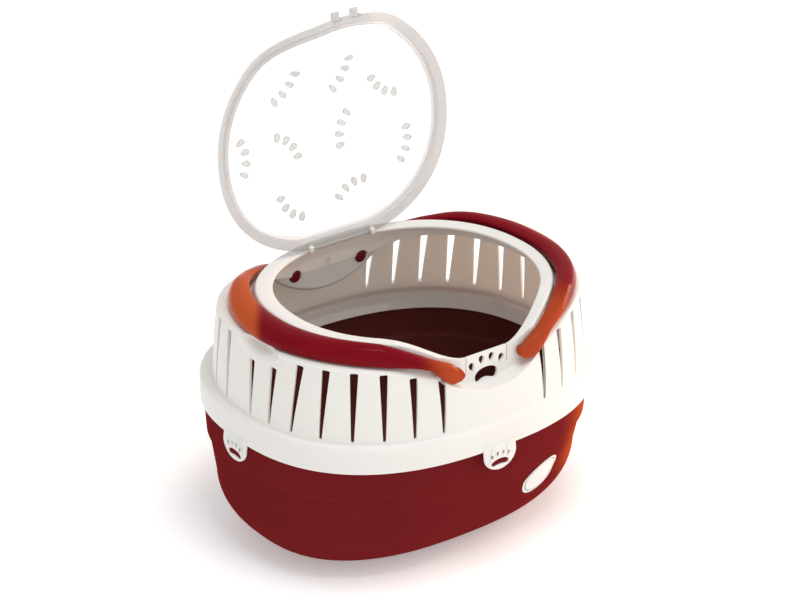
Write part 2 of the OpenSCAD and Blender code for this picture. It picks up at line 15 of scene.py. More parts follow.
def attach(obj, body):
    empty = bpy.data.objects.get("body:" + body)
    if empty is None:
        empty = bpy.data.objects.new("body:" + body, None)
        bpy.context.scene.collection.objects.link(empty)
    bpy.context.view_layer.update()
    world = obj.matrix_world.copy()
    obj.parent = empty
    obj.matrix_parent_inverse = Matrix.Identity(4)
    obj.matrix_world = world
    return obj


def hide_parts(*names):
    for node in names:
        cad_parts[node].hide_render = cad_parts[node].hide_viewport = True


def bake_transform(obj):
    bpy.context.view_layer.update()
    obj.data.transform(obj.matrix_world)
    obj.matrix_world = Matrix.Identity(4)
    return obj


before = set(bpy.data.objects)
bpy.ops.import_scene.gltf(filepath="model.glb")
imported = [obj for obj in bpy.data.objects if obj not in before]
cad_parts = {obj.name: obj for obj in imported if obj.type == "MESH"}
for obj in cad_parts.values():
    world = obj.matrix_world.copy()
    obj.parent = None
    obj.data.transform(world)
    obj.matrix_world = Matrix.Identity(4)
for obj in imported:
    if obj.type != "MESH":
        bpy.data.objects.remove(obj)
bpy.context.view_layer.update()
MM = 0.001
MATERIAL_PLACES = 3
# Keeps the lining's flat face off the rings of the cavity, so that the cut between them stays clean.
LINING_SHIFT = 0.013
TURN = np.linspace(0.0, 360.0, 288, endpoint=False)
log = logging.getLogger("keeper")


class Carve(Enum):
    """What a cutting tool does to the piece it meets."""

    TAKE = "DIFFERENCE"
    KEEP = "INTERSECT"
    JOIN = "UNION"


class Side(Enum):
    """Side of the keeper that a clip hangs on, as its turn from the front in degrees."""

    FRONT = 0
    RIGHT = 90
    REAR = 180
    LEFT = 270

    @property
    def turn(self) -> Matrix:
        """Turn that takes a shape from the front to this side."""
        return Matrix.Rotation(math.radians(self.value), 4, "Z")


# Numbers and curves


def signed_power(value: np.ndarray, power: float) -> np.ndarray:
    """Power that keeps the sign of its base."""
    return np.sign(value) * np.abs(value) ** power


def smooth(fraction: np.ndarray | float) -> np.ndarray:
    """Soft step from 0 to 1."""
    held = np.clip(fraction, 0.0, 1.0)
    return held * held * (3.0 - 2.0 * held)


def at_height(flat: np.ndarray, height: np.ndarray | float) -> np.ndarray:
    """Ring in space from its plan points and its heights."""
    return np.column_stack([flat, np.broadcast_to(height, len(flat))])


def softened(corners: Sequence[tuple[np.ndarray, float]], steps: int = 3) -> list[np.ndarray]:
    """Rounds the corners of a profile that is given ring by ring.

    Args:
        corners: Each ring of the profile with the fillet radius at it, 0 for none.
        steps: Number of facets in each fillet.

    Returns:
        The rings of the rounded profile.
    """
    rings = []
    for k, (ring, radius) in enumerate(corners):
        if radius == 0 or k in (0, len(corners) - 1):
            rings.append(ring)
            continue
        reach = []
        for other in (corners[k - 1][0], corners[k + 1][0]):
            way = other - ring
            length = np.linalg.norm(way, axis=1, keepdims=True) + 1e-9
            reach.append(ring + way / length * np.minimum(radius, 0.45 * length))
        for s in np.linspace(0.0, 1.0, steps + 1):
            rings.append((1 - s) ** 2 * reach[0] + 2 * s * (1 - s) * ring + s * s * reach[1])
    return rings


def bowed(low: np.ndarray, middle: np.ndarray, high: np.ndarray,
          count: int) -> list[tuple[np.ndarray, float]]:
    """Rings between low and high on the smooth curve that also meets the middle ring."""
    rings = []
    for s in np.linspace(0.0, 1.0, count + 2)[1:-1]:
        weights = 2 * (s - 0.5) * (s - 1), -4 * s * (s - 1), 2 * s * (s - 0.5)
        rings.append((weights[0] * low + weights[1] * middle + weights[2] * high, 0.0))
    return rings


def curve_through(points: np.ndarray, steps: int) -> np.ndarray:
    """Closed smooth curve through a few points.

    Args:
        points: The points in order, one a row.
        steps: Number of pieces between two of them.

    Returns:
        The points of the curve, one a row.
    """
    before, after, later = (np.roll(points, -shift, axis=0) for shift in (-1, 1, 2))
    parts = []
    for s in np.arange(steps) / steps:
        parts.append(0.5 * (2 * points + (after - before) * s
                            + (2 * before - 5 * points + 4 * after - later) * s * s
                            + (3 * points - before - 3 * after + later) * s ** 3))
    return np.stack(parts, axis=1).reshape(-1, points.shape[1])


@dataclass(frozen=True)
class Oval:
    """Plan outline whose front and back halves may differ."""

    half_length: float
    front: float
    rear: float
    middle: float = 0.0
    front_power: float = 2.45
    rear_power: float = 2.45

    def points(self, turn: np.ndarray = TURN, grow: float = 0.0) -> np.ndarray:
        """Plan points of the outline.

        Args:
            turn: Angles round the outline in degrees.
            grow: Distance by which each half measure grows.

        Returns:
            One row of X and Y for each angle.
        """
        c, s = np.cos(np.radians(turn)), np.sin(np.radians(turn))
        power = np.where(s < 0, self.front_power, self.rear_power)
        width = np.where(s < 0, self.front, self.rear) + grow
        return np.column_stack([
            (self.half_length + grow) * signed_power(c, 2 / power),
            self.middle + width * signed_power(s, 2 / power),
        ])


# Meshes


def new_object(name: str, points: np.ndarray, faces: Sequence[Sequence[int]],
               marks: Sequence[int] | None = None) -> bpy.types.Object:
    """Object from points in millimetres, with its faces turned outwards.

    Args:
        name: Name of the object.
        points: One row of X, Y and Z for each point.
        faces: Point numbers of each face.
        marks: Material number of each face, 0 if left out.

    Returns:
        The new object.
    """
    mesh = bpy.data.meshes.new(name)
    mesh.from_pydata((np.asarray(points) * MM).tolist(), [], [list(face) for face in faces])
    mesh.polygons.foreach_set("material_index", [0] * len(faces) if marks is None else list(marks))
    tidy = bmesh.new()
    tidy.from_mesh(mesh)
    bmesh.ops.recalc_face_normals(tidy, faces=tidy.faces)
    # Flat facets only, because a cut through a twisted one can leave a hole.
    bmesh.ops.triangulate(tidy, faces=tidy.faces)
    tidy.to_mesh(mesh)
    tidy.free()
    for _ in range(MATERIAL_PLACES):
        mesh.materials.append(None)
    obj = bpy.data.objects.new(name, mesh)
    bpy.context.scene.collection.objects.link(obj)
    return obj


def loft(name: str, rings: Sequence[np.ndarray], marks: Sequence[int] | None = None) -> bpy.types.Object:
    """Closed solid through rings of equal count.

    Args:
        name: Name of the object.
        rings: The rings in order.
        marks: Material number of each band between two rings, 0 if left out.

    Returns:
        The new object.
    """
    n = len(rings[0])
    here, there = np.arange(n), np.roll(np.arange(n), -1)
    faces = [list(range(n))[::-1]]
    for k in range(len(rings) - 1):
        low, high = k * n, (k + 1) * n
        faces += np.column_stack([low + here, low + there, high + there, high + here]).tolist()
    faces.append([(len(rings) - 1) * n + i for i in range(n)])
    numbers = None if marks is None else [marks[0], *np.repeat(marks, n).tolist(), marks[-1]]
    return new_object(name, np.vstack(rings), faces, numbers)


def slab(name: str, outline: np.ndarray, place: Matrix, low: float, high: float,
         mark: int = 0) -> bpy.types.Object:
    """Straight prism: a plan outline raised from low to high and then set in place."""
    rings = [at_height(outline, low), at_height(outline, high)]
    obj = loft(name, rings, [mark])
    obj.data.transform(place)
    return obj


def turned(name: str, profile: Sequence[tuple[float, float]], place: Matrix,
           steps: int = 48) -> bpy.types.Object:
    """Solid of revolution about its Z axis, from radius and height pairs that run bottom to top."""
    turn = np.radians(np.linspace(0, 360, steps, endpoint=False))
    circle = np.column_stack([np.cos(turn), np.sin(turn)])
    obj = loft(name, [at_height(circle * radius, height) for radius, height in profile])
    obj.data.transform(place)
    return obj


def block(name: str, low: Sequence[float], high: Sequence[float], edge: float = 0.0) -> bpy.types.Object:
    """Box between two corners with its edges rounded."""
    corners = np.array([[x, y, z] for z in (low[2], high[2]) for x, y in (
        (low[0], low[1]), (high[0], low[1]), (high[0], high[1]), (low[0], high[1]))])
    faces = [[3, 2, 1, 0], [4, 5, 6, 7], [0, 1, 5, 4], [1, 2, 6, 5], [2, 3, 7, 6], [3, 0, 4, 7]]
    obj = new_object(name, corners, faces)
    if edge:
        shape = bmesh.new()
        shape.from_mesh(obj.data)
        bmesh.ops.bevel(shape, geom=shape.edges[:], offset=edge * MM, segments=3, profile=0.5, affect="EDGES")
        shape.to_mesh(obj.data)
        shape.free()
    return obj


def joined(name: str, parts: Sequence[bpy.types.Object]) -> bpy.types.Object:
    """One object from several that don't touch."""
    shape = bmesh.new()
    for part in parts:
        shape.from_mesh(part.data)
        bpy.data.objects.remove(part, do_unlink=True)
    mesh = bpy.data.meshes.new(name)
    shape.to_mesh(mesh)
    shape.free()
    for _ in range(MATERIAL_PLACES):
        mesh.materials.append(None)
    obj = bpy.data.objects.new(name, mesh)
    bpy.context.scene.collection.objects.link(obj)
    return obj


def copied(obj: bpy.types.Object, name: str) -> bpy.types.Object:
    """Second object with a mesh of its own."""
    twin = bpy.data.objects.new(name, obj.data.copy())
    bpy.context.scene.collection.objects.link(twin)
    return twin


def bake_modifiers(obj: bpy.types.Object) -> None:
    """Makes the object's modifiers part of its mesh."""
    bpy.context.view_layer.update()
    graph = bpy.context.evaluated_depsgraph_get()
    mesh = bpy.data.meshes.new_from_object(obj.evaluated_get(graph))
    obj.modifiers.clear()
    obj.data = mesh


def carve(obj: bpy.types.Object, tool: bpy.types.Object, how: Carve = Carve.TAKE) -> None:
    """Cuts, keeps or joins a piece by a tool, which is used up."""
    step = obj.modifiers.new("carve", "BOOLEAN")
    step.operation = how.value
    step.solver = "EXACT"
    step.object = tool
    bake_modifiers(obj)
    bpy.data.objects.remove(tool, do_unlink=True)


def finish_shading(obj: bpy.types.Object, sharp_angle: float = 32.0) -> None:
    """Smooth shading that keeps real edges crisp."""
    obj.data.shade_smooth()
    obj.data.set_sharp_from_angle(angle=math.radians(sharp_angle))


def dress(obj: bpy.types.Object, *materials: bpy.types.Material) -> None:
    """Gives a piece its materials, in the order of its material numbers."""
    numbers = np.zeros(len(obj.data.polygons), dtype=np.int32)
    obj.data.polygons.foreach_get("material_index", numbers)
    obj.data.materials.clear()
    for material in materials:
        obj.data.materials.append(material)
    obj.data.polygons.foreach_set("material_index", np.minimum(numbers, len(materials) - 1))


# Finishes


def linear(hex_colour: str) -> tuple[float, float, float, float]:
    """Linear colour from an sRGB hex value."""
    channels = [int(hex_colour[i:i + 2], 16) / 255 for i in (1, 3, 5)]
    return *(c / 12.92 if c <= 0.04045 else ((c + 0.055) / 1.055) ** 2.4 for c in channels), 1.0


def add_node(tree: bpy.types.NodeTree, kind: str, inputs: dict[str | int, object] | None = None,
             **settings: object) -> bpy.types.Node:
    """Adds a shader node.

    Args:
        tree: Node tree that takes it.
        kind: Blender's name of the node type.
        inputs: Value or feeding socket of each named input.
        settings: Properties of the node.

    Returns:
        The new node.
    """
    node = tree.nodes.new(kind)
    for name, value in settings.items():
        setattr(node, name, value)
    for name, value in (inputs or {}).items():
        if isinstance(value, bpy.types.NodeSocket):
            tree.links.new(value, node.inputs[name])
        else:
            node.inputs[name].default_value = value
    return node


def blank_material(name: str) -> tuple[bpy.types.Material, bpy.types.NodeTree]:
    """New material with an empty node tree."""
    material = bpy.data.materials.new(name)
    material.use_nodes = True
    material.node_tree.nodes.clear()
    return material, material.node_tree


@dataclass(frozen=True)
class PaintedGlowFlank:
    """Painted glow: orange painted into a piece's colour on the flank that faces one way, where light from
    behind would come through the wall.
    """

    colour: str
    strength: float
    toward: tuple[float, float, float] = (0.80, -0.60, 0.0)
    facing: tuple[float, float] = (0.80, 1.0)

    def tint(self, tree: bpy.types.NodeTree, place: bpy.types.NodeSocket,
             colour: bpy.types.NodeSocket) -> bpy.types.NodeSocket:
        """Adds the painted glow to a colour.

        Args:
            tree: Node tree of the material.
            place: Coordinates on the piece; not used.
            colour: Colour without the painted glow.

        Returns:
            The tinted colour.
        """
        normal = add_node(tree, "ShaderNodeTexCoord").outputs["Normal"]
        facing = add_node(tree, "ShaderNodeVectorMath", {0: normal, 1: self.toward}, operation="DOT_PRODUCT")
        share = add_node(tree, "ShaderNodeMapRange", {
            "Value": facing.outputs["Value"], "From Min": self.facing[0], "From Max": self.facing[1],
            "To Max": self.strength}, interpolation_type="SMOOTHSTEP").outputs["Result"]
        mix = add_node(tree, "ShaderNodeMix", {0: share, 6: colour, 7: linear(self.colour)}, data_type="RGBA")
        return mix.outputs[2]


@dataclass(frozen=True)
class PaintedGlowEnds:
    """Painted glow on a bow: orange painted into its colour on the outer part of its bend and on its front
    arm, where light would come through the thin plastic.
    """

    colour: str
    bend_strength: float
    arm_strength: float
    arm_mm: tuple[float, float]
    # Shares of the distance from the middle and of the depth that add up to the measure of the bend.
    bend_way: tuple[float, float, float] = (0.8, 0.6, 0.0)
    bend_mm: tuple[float, float] = (97.0, 106.0)
    front_mm: tuple[float, float] = (-25.0, -60.0)

    def tint(self, tree: bpy.types.NodeTree, place: bpy.types.NodeSocket,
             colour: bpy.types.NodeSocket) -> bpy.types.NodeSocket:
        """Adds the painted glow to a colour.

        Args:
            tree: Node tree of the material.
            place: Coordinates on the piece.
            colour: Colour without the painted glow.

        Returns:
            The tinted colour.
        """
        split = add_node(tree, "ShaderNodeSeparateXYZ", {"Vector": place}).outputs
        mirrored = add_node(tree, "ShaderNodeVectorMath", {0: place}, operation="ABSOLUTE").outputs["Vector"]
        away = add_node(tree, "ShaderNodeSeparateXYZ", {"Vector": mirrored}).outputs["X"]
        folded = add_node(tree, "ShaderNodeCombineXYZ", {"X": away, "Y": split["Y"]})
        outward = add_node(tree, "ShaderNodeVectorMath", {0: folded.outputs["Vector"], 1: self.bend_way},
                           operation="DOT_PRODUCT").outputs["Value"]
        bend, arm, front = (add_node(tree, "ShaderNodeMapRange", {
            "Value": value, "From Min": near * MM, "From Max": far * MM, "To Max": most},
            interpolation_type="SMOOTHSTEP").outputs["Result"] for value, (near, far), most in (
                (outward, self.bend_mm, self.bend_strength), (away, self.arm_mm, self.arm_strength),
                (split["Y"], self.front_mm, 1.0)))
        share = add_node(tree, "ShaderNodeMix", {"Factor": front, "A": bend, "B": arm},
                         data_type="FLOAT").outputs[0]
        mix = add_node(tree, "ShaderNodeMix", {0: share, 6: colour, 7: linear(self.colour)}, data_type="RGBA")
        return mix.outputs[2]


@dataclass(frozen=True)
class MouldedPlastic:
    """Injection-moulded plastic: an even colour with a slight flow cloud and the fine grain of the mould, and
    where set a painted glow.
    """

    name: str
    colour: str
    cloud_colour: str
    roughness: float
    grain_mm: float
    grain_depth_mm: float
    cloud_mm: float = 60.0
    ior: float = 1.49
    shine: float = 0.3
    sheen: float = 0.0
    sheen_colour: str = "#ffffff"
    sheen_spread: float = 0.35
    glow: float = 0.0
    glow_reach: tuple[float, float, float] = (1.0, 0.2, 0.1)
    glow_mm: float = 2.0
    # Painted glow: emission in the plastic's own colour, and orange painted into the colour on the parts
    # where light would come through.
    painted_emission: float = 0.0
    painted_glow_parts: PaintedGlowEnds | PaintedGlowFlank | None = None

    def material(self) -> bpy.types.Material:
        """Builds the material, or gives the one that is there."""
        if self.name in bpy.data.materials:
            return bpy.data.materials[self.name]
        material, tree = blank_material(self.name)
        place = add_node(tree, "ShaderNodeTexCoord").outputs["Object"]
        cloud = add_node(tree, "ShaderNodeTexNoise", {
            "Vector": place, "Scale": 1 / (self.cloud_mm * MM), "Detail": 2.0, "Roughness": 0.5})
        # Mix has a set of sockets for each kind of data: 6 and 7 take its colours, and 2 gives the mixed one.
        tint = add_node(tree, "ShaderNodeMix", {
            0: cloud.outputs["Fac"], 6: linear(self.colour), 7: linear(self.cloud_colour)},
            data_type="RGBA").outputs[2]
        # Orange painted into the colour: painted glow where light would come through.
        if self.painted_glow_parts:
            tint = self.painted_glow_parts.tint(tree, place, tint)
        grain = add_node(tree, "ShaderNodeTexNoise", {
            "Vector": place, "Scale": 1 / (self.grain_mm * MM), "Detail": 3.0, "Roughness": 0.6})
        gloss = add_node(tree, "ShaderNodeMapRange", {
            "Value": grain.outputs["Fac"], "To Min": self.roughness * 0.88, "To Max": self.roughness * 1.12})
        relief = add_node(tree, "ShaderNodeBump", {
            "Height": grain.outputs["Fac"], "Distance": self.grain_depth_mm * MM, "Strength": 1.0})
        # The emission is painted glow, not a lamp.
        surface = add_node(tree, "ShaderNodeBsdfPrincipled", {
            "Base Color": tint, "Roughness": gloss.outputs["Result"], "IOR": self.ior,
            "Normal": relief.outputs["Normal"], "Specular IOR Level": self.shine,
            "Sheen Weight": self.sheen, "Sheen Roughness": self.sheen_spread,
            "Sheen Tint": linear(self.sheen_colour), "Subsurface Weight": self.glow,
            "Subsurface Radius": self.glow_reach, "Subsurface Scale": self.glow_mm * MM,
            "Emission Color": linear(self.colour), "Emission Strength": self.painted_emission})
        add_node(tree, "ShaderNodeOutputMaterial", {"Surface": surface.outputs["BSDF"]})
        return material


@dataclass(frozen=True)
class ClearSheet:
    """Clear polystyrene sheet: mostly see-through, with a faint haze where it is thick or folded."""

    name: str
    colour: str
    haze: float
    roughness: float = 0.12
    ior: float = 1.59

    def material(self) -> bpy.types.Material:
        """Builds the material."""
        material, tree = blank_material(self.name)
        place = add_node(tree, "ShaderNodeTexCoord").outputs["Object"]
        flow = add_node(tree, "ShaderNodeTexNoise", {"Vector": place, "Scale": 1 / (18 * MM), "Detail": 1.0})
        relief = add_node(tree, "ShaderNodeBump", {"Height": flow.outputs["Fac"], "Distance": 0.05 * MM})
        surface = add_node(tree, "ShaderNodeBsdfPrincipled", {
            "Base Color": linear(self.colour), "Roughness": self.roughness, "IOR": self.ior,
            "Alpha": self.haze, "Normal": relief.outputs["Normal"]})
        add_node(tree, "ShaderNodeOutputMaterial", {"Surface": surface.outputs["BSDF"]})
        return material


# Polypropylene, spark-eroded mould: satin deep red, with orange painted on the right front flank: painted
# glow where light would come through.
TUB_RED = MouldedPlastic("polypropylene_red_satin", "#782125", "#6c1e20", 0.42, 0.9, 0.006, shine=0.0,
                         sheen=0.12, sheen_colour="#ff6414", sheen_spread=0.22, glow=0.06,
                         painted_glow_parts=PaintedGlowFlank("#c4592a", 0.7))
# The inner face of the same tub is grained coarser; its darker, browner red is painted shade.
TUB_INSIDE = MouldedPlastic("polypropylene_red_grained_painted_shade", "#66302a", "#5a2a25", 0.7, 1.2, 0.02, shine=0.1)
# Polypropylene, polished mould: warm white with a soft gloss; the thin walls let some light through.
SHELL_WHITE = MouldedPlastic("polypropylene_white_polished", "#f1efeb", "#eeece7", 0.34, 1.2, 0.002,
                             glow=0.35, glow_reach=(1.0, 0.85, 0.7), glow_mm=3.0)
# The inner face of the shell is plainly moulded; its warmer tint is painted warm light, and its faint
# emission a painted glow of light coming through the thin wall.
SHELL_INSIDE = MouldedPlastic("polypropylene_white_plain_painted_light", "#f0e8e0", "#ece3da", 0.5, 1.2, 0.006,
                              glow=0.5, glow_reach=(1.0, 0.9, 0.8), glow_mm=5.0, painted_emission=0.075)
# Polystyrene handles, polished mould: crimson with a small highlight, and orange painted on the outer bend
# and front arm: painted glow where light would come through.
LEFT_CRIMSON = MouldedPlastic("polystyrene_crimson_gloss", "#840f1c", "#760d18", 0.13, 4.0, 0.003,
                              shine=0.05, sheen=0.1, sheen_colour="#ff7a3a", sheen_spread=0.25, glow=0.1,
                              painted_glow_parts=PaintedGlowEnds("#d0602e", 0.75, 0.5, (66.0, 42.0)))
# The right bow's painted glow runs further along its front arm, where more light would come through it from
# behind.
RIGHT_CRIMSON = replace(LEFT_CRIMSON, name="polystyrene_crimson_gloss_painted_glow",
                        painted_glow_parts=PaintedGlowEnds("#d0602e", 0.75, 0.5, (96.0, 66.0), (1.0, 0.0, 0.0),
                                           (126.0, 132.0)))
# The pins are the same plastic with the mould's plain finish.
PIN_RED = MouldedPlastic("polystyrene_crimson_plain", "#7c1a22", "#70161e", 0.34, 0.8, 0.004, shine=0.15)
# Clear polystyrene: a thin cold-white veil on the plate, greyer on the flat border, grey-green on cut edges
# and on the webs that fill the vents, which are painted shade of the vent walls.
LID_PLATE = ClearSheet("polystyrene_clear_plate", "#ffffff", 0.06)
LID_BORDER = ClearSheet("polystyrene_clear_border", "#bab8b6", 0.45)
LID_EDGE = ClearSheet("polystyrene_clear_edge", "#d6d9d6", 0.45, roughness=0.3)
# Printed vinyl sticker: matt white face with a grey keyline.
LABEL_WHITE = MouldedPlastic("vinyl_white_printed", "#eceeec", "#e8eae8", 0.5, 0.5, 0.004)
LABEL_LINE = MouldedPlastic("vinyl_grey_keyline", "#8f9391", "#8a8e8c", 0.5, 0.5, 0.004)


# The keeper's own shapes


@dataclass(frozen=True)
class Plan:
    """Sizes that more than one piece takes, in millimetres."""

    band_a: float = 150.0
    band_b: float = 128.5
    wall: float = 2.2
    band_bottom: float = 105.0
    band_top: float = 125.0
    tub_height: float = 115.0
    rim_height: float = 198.6
    front_dip: float = 21.1
    rim_middle: float = -11.4
    opening_middle: float = -15.6
    pocket_radius: float = 71.0
    pocket_centre: float = 224.3
    front_floor: float = 110.9
    rear_floor: float = 93.0
    pivot_x: float = 31.5
    pivot_z: float = 170.5
    hinge_y: float = 72.0
    hinge_rise: float = 1.6
    barrel_half_width: float = 26.6
    ear_width: float = 4.0
    stub_radius: float = 1.2
    shelf_rise: float = 2.0
    clip_proud: float = 1.1
    clip_root: float = 110.0
    lug_height: float = 92.4
    tongue_half_width: float = 18.6
    tongue_root: float = 165.4

    @property
    def rim(self) -> Oval:
        """Outer outline of the flat rim."""
        return Oval(114.5, 107.5, 98.5, self.rim_middle, 2.0, 2.3)

    @property
    def opening(self) -> Oval:
        """Outline of the opening."""
        return Oval(102.3, 94.6, 91.2, self.opening_middle, 2.0, 2.3)

    @property
    def riser(self) -> Oval:
        """Outline of the wall between shelf and rim."""
        return Oval(115.5, 107.7, self.rear_floor - self.rim_middle, self.rim_middle, 2.0, 2.3)

    @property
    def wall_foot(self) -> Oval:
        """Outline of the slatted wall at its foot."""
        return Oval(self.band_a - 5.5, self.band_b - 6.5, self.band_b - 6.5, -4.0, 2.35, 2.35)

    @property
    def wall_head(self) -> Oval:
        """Outline of the slatted wall at its top."""
        return Oval(self.band_a - 9, self.band_b - 12.5, self.band_b - 12.5, -5.0, 2.35, 2.35)

    @property
    def hinge_z(self) -> float:
        """Height of the lid hinge."""
        return self.rim_height + self.hinge_rise

    def wall_top(self, turn: np.ndarray | float) -> np.ndarray:
        """Height of the slatted wall: nearly level, and lower over the pockets."""
        from_middle = np.abs(np.mod(turn, 180.0) - 90.0)
        shoulder = 7.0 * smooth((from_middle - 14) / 20) * (1 - smooth((from_middle - 30) / 62))
        return 178 + 7.3 * np.cos(2 * np.radians(turn)) + shoulder

    def dip(self, flat: np.ndarray) -> np.ndarray:
        """Drop of the rim: only the front half dips, towards its middle."""
        drop = self.front_dip * (1 - smooth((np.abs(flat[:, 0]) - 18) / 58))
        return np.where(flat[:, 1] < self.rim_middle, drop, 0.0)

    def band_ring(self, inset: float, height: float) -> np.ndarray:
        """Ring of the band at a height."""
        band = Oval(self.band_a, self.band_b, self.band_b)
        return at_height(band.points(grow=-inset), height)


PLAN = Plan()
FROM_FRONT = Matrix.Rotation(math.radians(90), 4, "X")


def moved(x: float, y: float, z: float) -> Matrix:
    """Shift in millimetres."""
    return Matrix.Translation(Vector((x, y, z)) * MM)


def kidney(half_width: float, half_height: float, depth: float | None = None, count: int = 48) -> np.ndarray:
    """Outline of a paw's pad: round above, hollow below.

    Args:
        half_width: Half width.
        half_height: Height of the upper side over the middle.
        depth: Depth of the lower lobes under the middle, about half the height if left out.
        count: Number of points.

    Returns:
        The outline's points.
    """
    turn = np.radians(np.linspace(0, 360, count, endpoint=False))
    lift = np.sin(turn)
    low = half_height if depth is None else depth / 0.453
    return np.column_stack([half_width * np.cos(turn),
                            np.where(lift < 0, low * (1 - 0.72 * lift * lift), half_height) * lift])


def teardrop(half_width: float, half_height: float, point: float = 0.45, count: int = 28) -> np.ndarray:
    """Outline of a toe: round above and narrower below.

    Args:
        half_width: Half width at its widest.
        half_height: Half height.
        point: How much narrower the lower end is, 0 for an ellipse.
        count: Number of points.

    Returns:
        The outline's points.
    """
    turn = np.radians(np.linspace(0, 360, count, endpoint=False))
    lift = np.sin(turn)
    taper = (1 + point * lift) / (1 + 0.5 * point)
    return np.column_stack([half_width * np.cos(turn) * taper, half_height * lift])


def turned_flat(outline: np.ndarray, degrees: float, x: float = 0.0, y: float = 0.0) -> np.ndarray:
    """Outline turned in its plane and then shifted."""
    c, s = math.cos(math.radians(degrees)), math.sin(math.radians(degrees))
    return outline @ np.array([[c, s], [-s, c]]) + (x, y)


def paw_toes(spread: float, lift: float, half_width: float, half_height: float,
             point: float = 0.45) -> list[np.ndarray]:
    """Four toes in a fan above a pad.

    Args:
        spread: Distance between toes.
        lift: Height of the inner toes over the pad.
        half_width: Half width of a toe.
        half_height: Half height of a toe.
        point: How pointed the lower ends are.

    Returns:
        One outline for each toe.
    """
    return [turned_flat(teardrop(half_width, half_height, point), -k * 12, k * spread,
                        lift - k * k * half_height * 0.45) for k in (-1.5, -0.5, 0.5, 1.5)]


@dataclass
class Tub:
    """Red oval tub with its round belly, collar step, plain rim and four catch lugs."""

    plan: Plan = PLAN
    base_half_length: float = 94.0
    base_half_width: float = 54.0
    belly_height: float = 50.0
    belly_half_length: float = 144.0
    belly_half_width: float = 107.5
    collar_height: float = 80.0
    collar_step: float = 3.6
    rim_clearance: float = 0.4
    front_lug_depth: float = 8.1
    end_lug_depth: float = 2.7

    def profile(self, grow: float) -> list[tuple[float, float, float, float]]:
        """Half length, half width, height and fillet radius at each height of the tub.

        Args:
            grow: Distance by which the outline grows.

        Returns:
            The profile from the base to the rim.
        """
        p = self.plan
        corners = []
        longer = self.belly_half_length - self.base_half_length
        wider = self.belly_half_width - self.base_half_width
        for f in np.radians(np.linspace(0, 90, 19)):
            corners.append((self.base_half_length + longer * math.sin(f),
                            self.base_half_width + wider * math.sin(f),
                            self.belly_height * (1 - math.cos(f)), 0.0))
        step, seat = self.collar_step, p.wall + self.rim_clearance
        corners += [
            (p.band_a - 4, p.band_b - 9.9 - step, self.collar_height - 7, 6.0),
            (p.band_a - 3.8, p.band_b - 9 - step, self.collar_height - 2, 1.2),
            (p.band_a - 2, p.band_b - 9, self.collar_height, 1.2),
            (p.band_a - 1.4, p.band_b - 6.5, p.band_bottom - 5, 4.0),
            (p.band_a - 1.4, p.band_b - 6.2, p.band_bottom - 1.2, 0.6),
            (p.band_a - seat, p.band_b - 5, p.band_bottom - 0.3, 0.0),
            (p.band_a - seat, p.band_b - seat, p.band_bottom + 3, 0.0),
            (p.band_a - seat, p.band_b - seat, p.tub_height, 0.5),
        ]
        return [(a + grow, b + grow, z, r) for a, b, z, r in corners]

    def ring(self, a: float, b: float, height: float) -> np.ndarray:
        """Ring of the tub with given half measures."""
        return at_height(Oval(a, b, b).points(), height)

    def measures_at(self, height: float) -> tuple[float, float]:
        """Half length and half width of the outside at a height."""
        rows = self.profile(0.0)
        heights = [row[2] for row in rows]
        return (float(np.interp(height, heights, [row[0] for row in rows])),
                float(np.interp(height, heights, [row[1] for row in rows])))

    def lug(self, side: Side) -> bpy.types.Object:
        """Catch lug with softened edges, which the clip on that side snaps over."""
        p = self.plan
        across = side in (Side.LEFT, Side.RIGHT)
        reach = (p.band_a if across else p.band_b) + p.clip_proud - p.wall / 2
        root = reach - (self.end_lug_depth if across else self.front_lug_depth)
        face = reach + 0.22 * p.wall
        outline = kidney(7.5, 2.95) + (0.0, 0.2)
        lug = loft(f"lug_{side.name}", [at_height(outline, root), at_height(outline, face - 0.5),
                                        at_height(outline * (0.96, 0.9), face - 0.12),
                                        at_height(outline * (0.9, 0.78), face)])
        lug.data.transform(side.turn @ moved(0, 0, p.lug_height) @ FROM_FRONT)
        return lug

    def build(self) -> bpy.types.Object:
        """Builds the tub as one closed shell with its lugs."""
        wall = self.plan.wall
        outside = [(self.ring(a, b, z), r) for a, b, z, r in self.profile(0.0)]
        inside = []
        for k, (a, b, z, r) in enumerate(self.profile(-wall)):
            low = wall * math.cos(math.radians(min(k * 5, 90)))
            inside.append((self.ring(a, b, z if z == self.plan.tub_height else z + low), r))
        outer_rings = softened([*outside, inside[-1]])[:-1]
        inner_rings = softened([outside[-1]] + inside[::-1])[1:]
        marks = [0] * (len(outer_rings) - 1) + [1] * len(inner_rings)
        tub = loft("tub_moulding", outer_rings + inner_rings, marks)
        carve(tub, joined("lugs", [self.lug(side) for side in Side]), Carve.JOIN)
        finish_shading(tub)
        # The inner face takes the darker, browner red: painted shade.
        dress(tub, TUB_RED.material(), TUB_INSIDE.material())
        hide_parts("tub")
        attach(tub, "shell")
        return tub


